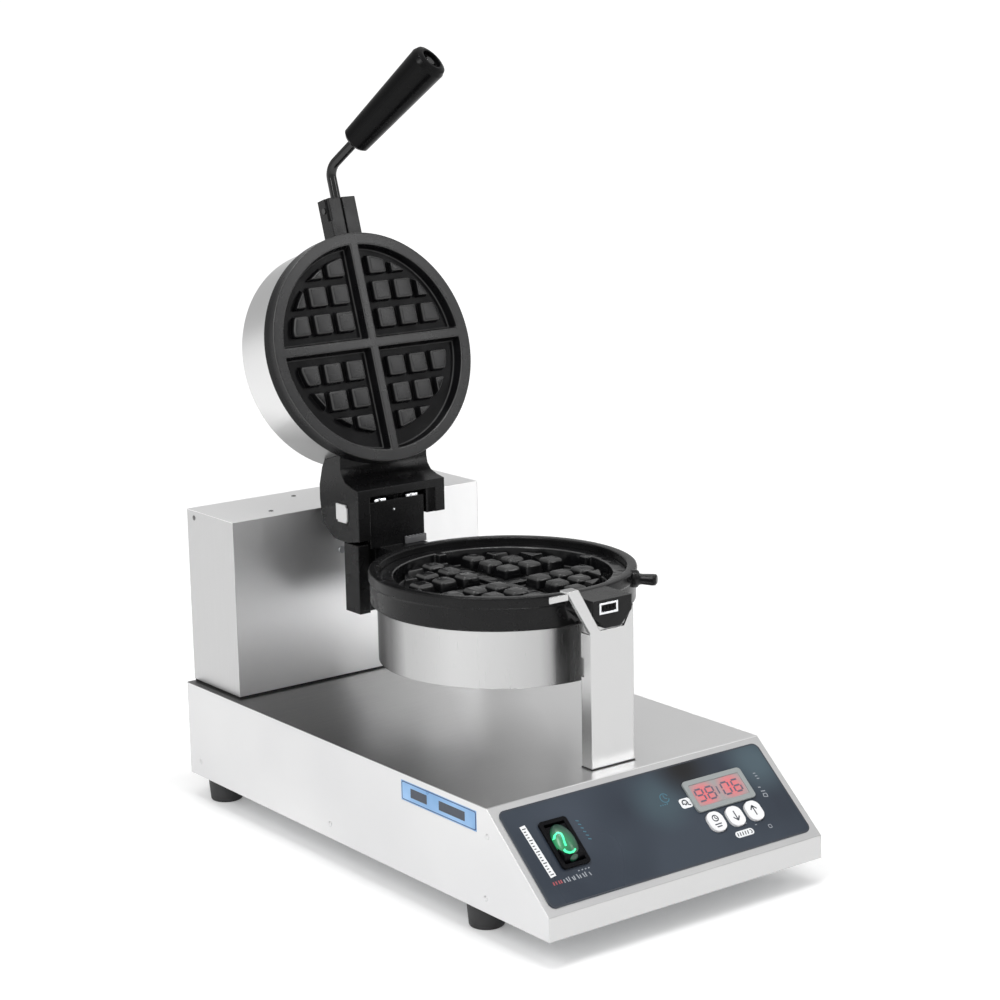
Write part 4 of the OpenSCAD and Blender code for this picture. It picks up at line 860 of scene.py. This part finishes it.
pad_grey = Finish("stop_pad_grey", (0.13, 0.13, 0.135), 0.5)
pad_grey.relief(pad_grey.noise(260.0), 0.0004, 0.7, 0.0006)
pad_top, rib_pitch, gap_wide = 219.0, 3.4, 1.4
pad = box("stop_pad", (3.0, 93.5, 213.0), (22.0, 96.5, pad_top))
for number in range(5):
    x = 5.2 + number * rib_pitch
    cut(pad, box("rib_gap", (x, 93.0, pad_top - 1.1), (x + gap_wide, 96.6, pad_top + 1)))
ready(smooth(ease(pad, 0.45)), pad_grey, "head", slot="zinc")
low, high = node_box("hinge_pin")
pin_end = 21.8
pin = spun("hinge_pin_dressed", [
    (0, low.x), (1.9, low.x), (2.5, low.x + 0.6), (2.5, pin_end - 0.6), (1.9, pin_end), (0, pin_end)],
    (0, PIN_Y, PIN_Z), RIGHTWARD, 40)
ready(pin, zinc_bright, "head", "hinge_pin", slot="zinc")

# ---- Cover plate ----
# A zinc-plated plate with notched corners closes the pin's bore on the cover's left cheek.
plate_white = Finish("white_zinc_plate", (0.66, 0.66, 0.66), 0.36, 0.4)
plate_white.vary(0.28, 0.45, 160.0)
plate_white.soften(0.0004)
low, high = node_box("cover_plate")
cheek_plate = box("cheek_plate", (low.x, low.y + 0.6, low.z + 0.3), (high.x, high.y - 0.4, high.z - 0.3))
for y0, y1, z0, z1 in ((low.y - 1, low.y + 2.2, high.z - 2.6, high.z + 1),
                       (high.y - 2.6, high.y + 1, low.z - 1, low.z + 1.8),
                       (low.y - 1, low.y + 1.8, low.z - 1, low.z + 1.6)):
    cut(cheek_plate, box("notch", (low.x - 1, y0, z0), (high.x + 1, y1, z1)))
ready(smooth(ease(cheek_plate, 0.35)), plate_white, "lid", "cover_plate", slot="zinc")

# ---- Rim of the lower pan ----
# A black cast ring with a proud top band and a ledge for the plate, in one casting with the journal block.
# The block turns in the front rest; a bright framed insert sits in its face, and a lifting peg beside it.
PAN_Y, SHAFT_Z = -35.0, 216.0
rim = spun("rim_dressed", [
    (84, 195), (97.8, 195), (98.9, 196.1), (98.9, 210.6), (99.2, 211.6), (100, 212.6), (100, 218.4),
    (99.5, 219.5), (98.4, 220), (94.0, 220), (92.6, 219.6), (92, 218.4), (92, 199.5), (84, 199.5), (84, 195)],
    (0, PAN_Y, 0), steps=160)
journal_r, journal_long, journal_y = 17.8, 32.5, -147.25
block = drum("journal_block", journal_r / math.cos(math.pi / 8), journal_long, (0, 0, 0), 8)
block.data.transform(move(0, journal_y, SHAFT_Z) @ FRONTWARD @ rotate("Z", 22.5))
ease(block, 1.2, 3, 30)
cut(block, box("above", (-40, -200, 219.5), (40, -80, 260)))
cut(block, drum("core", 96, 80, (0, PAN_Y, SHAFT_Z), 160))
cut(rim, block, "UNION")
low, high = node_box("journal_insert")
cut(rim, box("insert_pocket", (low.x, low.y - 6, low.z), high))
ready(smooth(rim, 32), casting, "head", "lower_rim", slot="black_casting")
insert = box("journal_insert_dressed", low, high)
x0, x1, z0, z1 = low.x + 1.8, high.x - 1.8, low.z + 1.75, high.z - 1.75
cut(insert, box("recess", (x0, low.y - 1, z0), (x1, low.y + 2.7, z1)))
ready(smooth(ease(insert, 0.35)), zinc_bright, "head", "journal_insert", slot="zinc")
slug = box("insert_slug", (x0, low.y + 0.6, z0), (x1, low.y + 2.8, z1))
groove_pitch, groove_wide = 3.1, 1.2
for number in range(4):
    x, foot_z = x0 + 1.0 + number * groove_pitch, z0 + 1.0 + 0.9 * (number % 2)
    cut(slug, box("groove", (x, low.y + 0.3, foot_z), (x + groove_wide, low.y + 1.3, z1 - 0.8)))
ready(smooth(ease(slug, 0.3)), switch_black, "head", slot="black_casting")
peg = spun("lifting_peg", [(0, -2.5), (6.6, -2.5), (6.6, 1.4), (6.0, 2.6), (4.8, 3.2), (4.2, 4.2), (4.0, 6.0),
                           (4.6, 13.6), (4.3, 15.6), (3.0, 16.8), (0, 17.0)], steps=40)
cut(peg, box("peg_flat", (-5.4, -8, 2.6), (-3.5, 8, 18)))
peg.data.transform(move(0, PAN_Y, 214) @ rotate("Z", -52) @ RIGHTWARD @ move(0, 0, 100))
ready(smooth(ease(peg, 0.4, 2, 40), 35), casting, "head", "rim_peg", slot="black_casting")

# ---- Waffle plates ----
# Two cast-iron plates, each with four quadrant pockets between a cross of bars and rows of pegs.
# They are cast black and seasoned, so pockets, bars and pegs have soft edges and a low gloss; their rounded
# edges carry painted highlights.
iron = Finish("seasoned_cast_iron", (0.006, 0.006, 0.0065), 0.3, 0.0, Specular_IOR_Level=0.07)
seasoned = iron.mottle(iron.noise(40.0, detail=4.0), (0.0035, 0.0035, 0.004), (0.006, 0.006, 0.0065))
iron.vary(0.25, 0.33, 70.0)
iron.relief(iron.noise(500.0), 0.00006, 0.25, 0.0010)
oiled = (0.004, 0.004, 0.0045)
glossy_iron = Finish("oiled_cast_iron", oiled, 0.2, 0.0, Specular_IOR_Level=0.22)
glossy_iron.vary(0.1, 0.32, 60.0)
glossy_iron.relief(glossy_iron.noise(75.0, detail=1.0), 0.0022, 0.8, 0.0012)


def weld(piece, gap):
    """Takes out the very short edges that a cut leaves, so that they don't hold the rounding back."""
    edit(piece)
    bpy.ops.mesh.remove_doubles(threshold=gap * MM)
    leave_edit()
    return piece


def polish(finish, face_point, normal, floor, face, weight):
    """The worn faces shine more than the pockets: a thin oil film that fades with depth."""
    depth = finish.toward(normal) - face_point.dot(normal)
    finish.feed("Coat Weight", finish.span(depth, floor, face, 0.0, weight))
    finish.feed("Coat Roughness", 0.2)


def paint_edge_highlights(piece, finish, ground, normal, highlight_grey):
    """Painted highlights on the rounded edges: their points lean between the plate's face and its walls, and
    are painted lighter.
    """
    wear = piece.data.attributes.new("wear", "FLOAT", "POINT")
    for share, point in zip(wear.data, piece.data.vertices):
        share.value = 1.0 if 0.35 < abs(point.normal.dot(normal)) < 0.94 else 0.0
    share = finish.node("Attribute", {"attribute_name": "wear"}, out="Fac")
    finish.feed("Base Color", finish.blend(share, ground, (highlight_grey, highlight_grey, highlight_grey)))


PLATE_FACE_Z, LID_FACE_Z = 214.5, 215.0
plate_thick, pocket_r_floor, pocket_r_face = 15.0, 79.6, 82.0
bar_top, bar_foot = 3.5, 5.4
first_peg, across_pitch, along_pitch = 19.4, 20.6, 21.6
peg_sink = 0.4
CORNERS = [(x, y) for x in (-1, 1) for y in (-1, 1)]


def pocket_tool(depth, corner, cross_y):
    """One quarter of a round pocket, with sloping walls along the two bars that bound it."""
    x, y = corner
    lean = math.atan2(bar_foot - bar_top, depth)
    tool = add("cone", "pocket", radius1=pocket_r_floor * MM, radius2=pocket_r_face * MM,
               depth=(depth + 1) * MM, vertices=128, location=(0, 0, (1 - depth) / 2 * MM))
    for along_x, along_y in ((x * math.cos(lean), 0), (0, y * math.cos(lean))):
        wall = (along_x, along_y, math.sin(lean))
        edit(tool)
        bpy.ops.mesh.bisect(plane_co=(x * bar_top * MM, (cross_y + y * bar_top) * MM, 0), plane_no=wall,
                            use_fill=True, clear_inner=True)
        leave_edit()
    return tool


def peg_model(foot, height, top_share):
    """A square peg that narrows towards its top, sunk a little in the pocket's floor."""
    peg = add("cube", "peg", size=1.0)
    peg.data.transform(Matrix.Diagonal((foot * MM, foot * MM, (height + peg_sink) * MM, 1)))
    shape = edit(peg)
    for face in shape.faces:
        face.select_set(face.normal.z > 0.5)
    bpy.ops.transform.resize(value=(top_share, top_share, 1.0))
    leave_edit()
    return peg


def waffle_plate(name, radius, depth, cross_y, bar_drop, field, peg_sizes, rounding):
    """A plate with its face at z 0: pockets between a cross of bars, and pegs clipped to a round field."""
    field_y, field_r = field
    peg_foot, peg_height, top_share = peg_sizes
    body = drum(name, radius, plate_thick, (0, 0, -plate_thick / 2), 128)
    for corner in CORNERS:
        cut(body, pocket_tool(depth, corner, cross_y))
    if bar_drop:
        cut(body, drum("bar_drop", 76, 2 * bar_drop, (0, 0, 0), 96))
    ease(weld(body, 1.2), 1.0, 3, 30, use_clamp_overlap=False)
    peg = peg_model(peg_foot, peg_height, top_share)
    clip = add("cone", "field", radius1=(field_r + 1.5) * MM, radius2=(field_r - 1.5) * MM,
               depth=16 * MM, vertices=56, location=(0, field_y * MM, -8 * MM))
    pegs = []
    for x, y in CORNERS:
        for row, columns in enumerate((3, 3, 2)):
            for column in range(columns):
                out_x, out_y = first_peg + column * across_pitch, first_peg + row * along_pitch
                spot = move(x * out_x, cross_y + y * out_y, (peg_height - peg_sink) / 2 - depth)
                one = cut(twin(peg, f"peg_{len(pegs)}", spot), twin(clip, "field_tool"), "INTERSECT")
                pegs.append(ease(weld(one, 0.6), rounding, 3, 30))
    bpy.data.objects.remove(peg)
    bpy.data.objects.remove(clip)
    return smooth(join(body, *pegs), 35)


OPEN_ANGLE = -107.5
OPEN = move(0, PIN_Y, PIN_Z) @ rotate("X", OPEN_ANGLE) @ move(0, -PIN_Y, -PIN_Z)
upward_face = Vector((0, 0, 1))
lower_iron = waffle_plate("lower_waffle_plate", 91.8, 12.0, 0.0, 8.0, (0.0, 74.0), (17.6, 10.2, 0.78), 2.8)
lower_iron.data.transform(move(0, PAN_Y, PLATE_FACE_Z))
ready(lower_iron, glossy_iron, "head", "lower_plate", slot="black_plate")
polish(glossy_iron, upward_face * PLATE_FACE_Z * MM, upward_face, -0.006, 0.0, 0.25)
# Painted highlights along the rounded edges of the lower plate.
paint_edge_highlights(lower_iron, glossy_iron, oiled, upward_face, 0.05)
upper_iron = waffle_plate("upper_waffle_plate", 91.0, 8.5, -3.0, 0.0, (-3.4, 71.0), (17.2, 6.0, 0.86), 1.6)
upper_iron.data.transform(OPEN @ move(0, PAN_Y, LID_FACE_Z) @ rotate("Y", 180))
ready(upper_iron, iron, "lid", "upper_plate", slot="black_plate")
lid_face = OPEN.to_3x3() @ Vector((0, 0, -1))
polish(iron, OPEN @ Vector((0, PAN_Y * MM, LID_FACE_Z * MM)), lid_face, -0.0075, -0.001, 0.33)
# Painted highlights along the rounded edges of the upper plate.
paint_edge_highlights(upper_iron, iron, seasoned, lid_face, 0.055)

# ---- Pan shells, heaters and insulation ----
# Each pan's back is a cup of brushed steel sheet with a rolled foot, held by three screws through its floor.
# A ring heater lies against the plate, under a blanket of mineral fibre.
shell_steel = Finish("brushed_shell_steel", (0.58, 0.58, 0.58), 0.26, 1.0)
# Painted reflections: light and dark bands of grey round the lower shell stand in for the room reflected in
# the steel.
drift = (shell_steel.noise(9.0, (1, 1, 0.3), 1.0) - 0.5) * 0.02
band_middle, band_span = 0.021, 0.188
reflection_round_pan = (shell_steel.toward((0.8, -0.6, 0.0)) + drift - band_middle) / band_span + 0.5
shell_steel.feed("Base Color", shell_steel.greys(
    reflection_round_pan, (0.0, 0.08), (0.05, 0.12), (0.11, 0.43), (0.30, 0.52), (0.50, 0.49), (0.62, 0.44),
    (0.69, 0.29), (0.74, 0.12), (0.79, 0.28), (0.86, 0.55), (0.94, 0.39), (1.0, 0.11)))
shell_steel.gloss(0.26, 0.275, shell_steel.noise(160.0, (6.0, 6.0, 0.22)))
shell_steel.soften(0.0007)
shell_steel.on("lower_shell")
lid_steel = Finish("brushed_lid_steel", (0.58, 0.58, 0.58), 0.3, 1.0)
# Painted reflections: soft bands of grey laid out by noise across the lid's steel.
lid_steel.feed("Base Color", lid_steel.greys(
    lid_steel.noise(5.5, (0.4, 0.4, 1.6), 1.0),
    (0.0, 0.29), (0.22, 0.60), (0.34, 0.44), (0.46, 0.71), (0.75, 0.76), (1.0, 0.66)))
lid_steel.soften(0.0007)
lid_steel.on("upper_shell")
zinc.on("lower_screws", "lid_screws")
heater = Finish("heater_sheath", (0.28, 0.25, 0.22), 0.42, 0.8)
heater.vary(0.34, 0.5, 120.0)
heater.soften(0.0002)
heater.on("lower_heater", "upper_heater")
fibre = Finish("mineral_fibre", (0.6, 0.57, 0.47), 0.9)
fibre.relief(fibre.noise(250.0, (1, 1, 6)), 0.0006, 0.6, 0.0006)
fibre.on("lower_insulation", "upper_insulation")

# ---- Handle ----
# A cast block at the lid's edge clamps a bent steel rod with one set screw.
# The rod is black-chromed, and its turned grip is hard black plastic held by a screw in its end.
block_half, block_front, block_foot, block_top = 13.0, -156.0, 220.5, 235.0
block = box("handle_block_dressed", (-block_half, block_front, block_foot), (block_half, -112.0, block_top))
cut(block, drum("plate_seat", 91.2, 60, (0, PAN_Y, 230), 128))
cut(block, box("groove", (-0.7, block_front - 1, block_foot - 1), (0.7, -110.0, block_foot + 1.8)))
cut(block, box("side_step", (-block_half - 1, block_front - 1, block_foot - 1), (-11.8, -138.0, 224.5)))
rod_r, rod_z = 4.05, 227.75
bore = drum("bore", rod_r, 36, (0, 0, 0), 48)
bore.data.transform(move(0, block_front, rod_z) @ FRONTWARD)
cut(block, bore)
ease(block, 0.7, 2, 40)
block.data.transform(OPEN)
ready(smooth(block, 35), casting, "lid", "handle_block", slot="black_casting")
black_chrome = Finish("black_chrome", (0.006, 0.006, 0.006), 0.05, 0.0, Specular_IOR_Level=0.5)
black_chrome.vary(0.04, 0.12, 80.0)
black_chrome.on("handle_rod")
grip_black = Finish("grip_black", (0.003, 0.003, 0.0032), 0.24, 0.0, Specular_IOR_Level=0.1)
grip_black.vary(0.19, 0.29, 120.0)
grip_black.relief(grip_black.noise(500.0), 0.00004, 0.2, 0.0012)
grip_black.on("handle_grip")
black_oxide = Finish("black_oxide", (0.07, 0.07, 0.07), 0.28, 1.0)
black_oxide.vary(0.2, 0.36, 200.0)
black_oxide.soften(0.0003)
black_oxide.on("handle_screws")
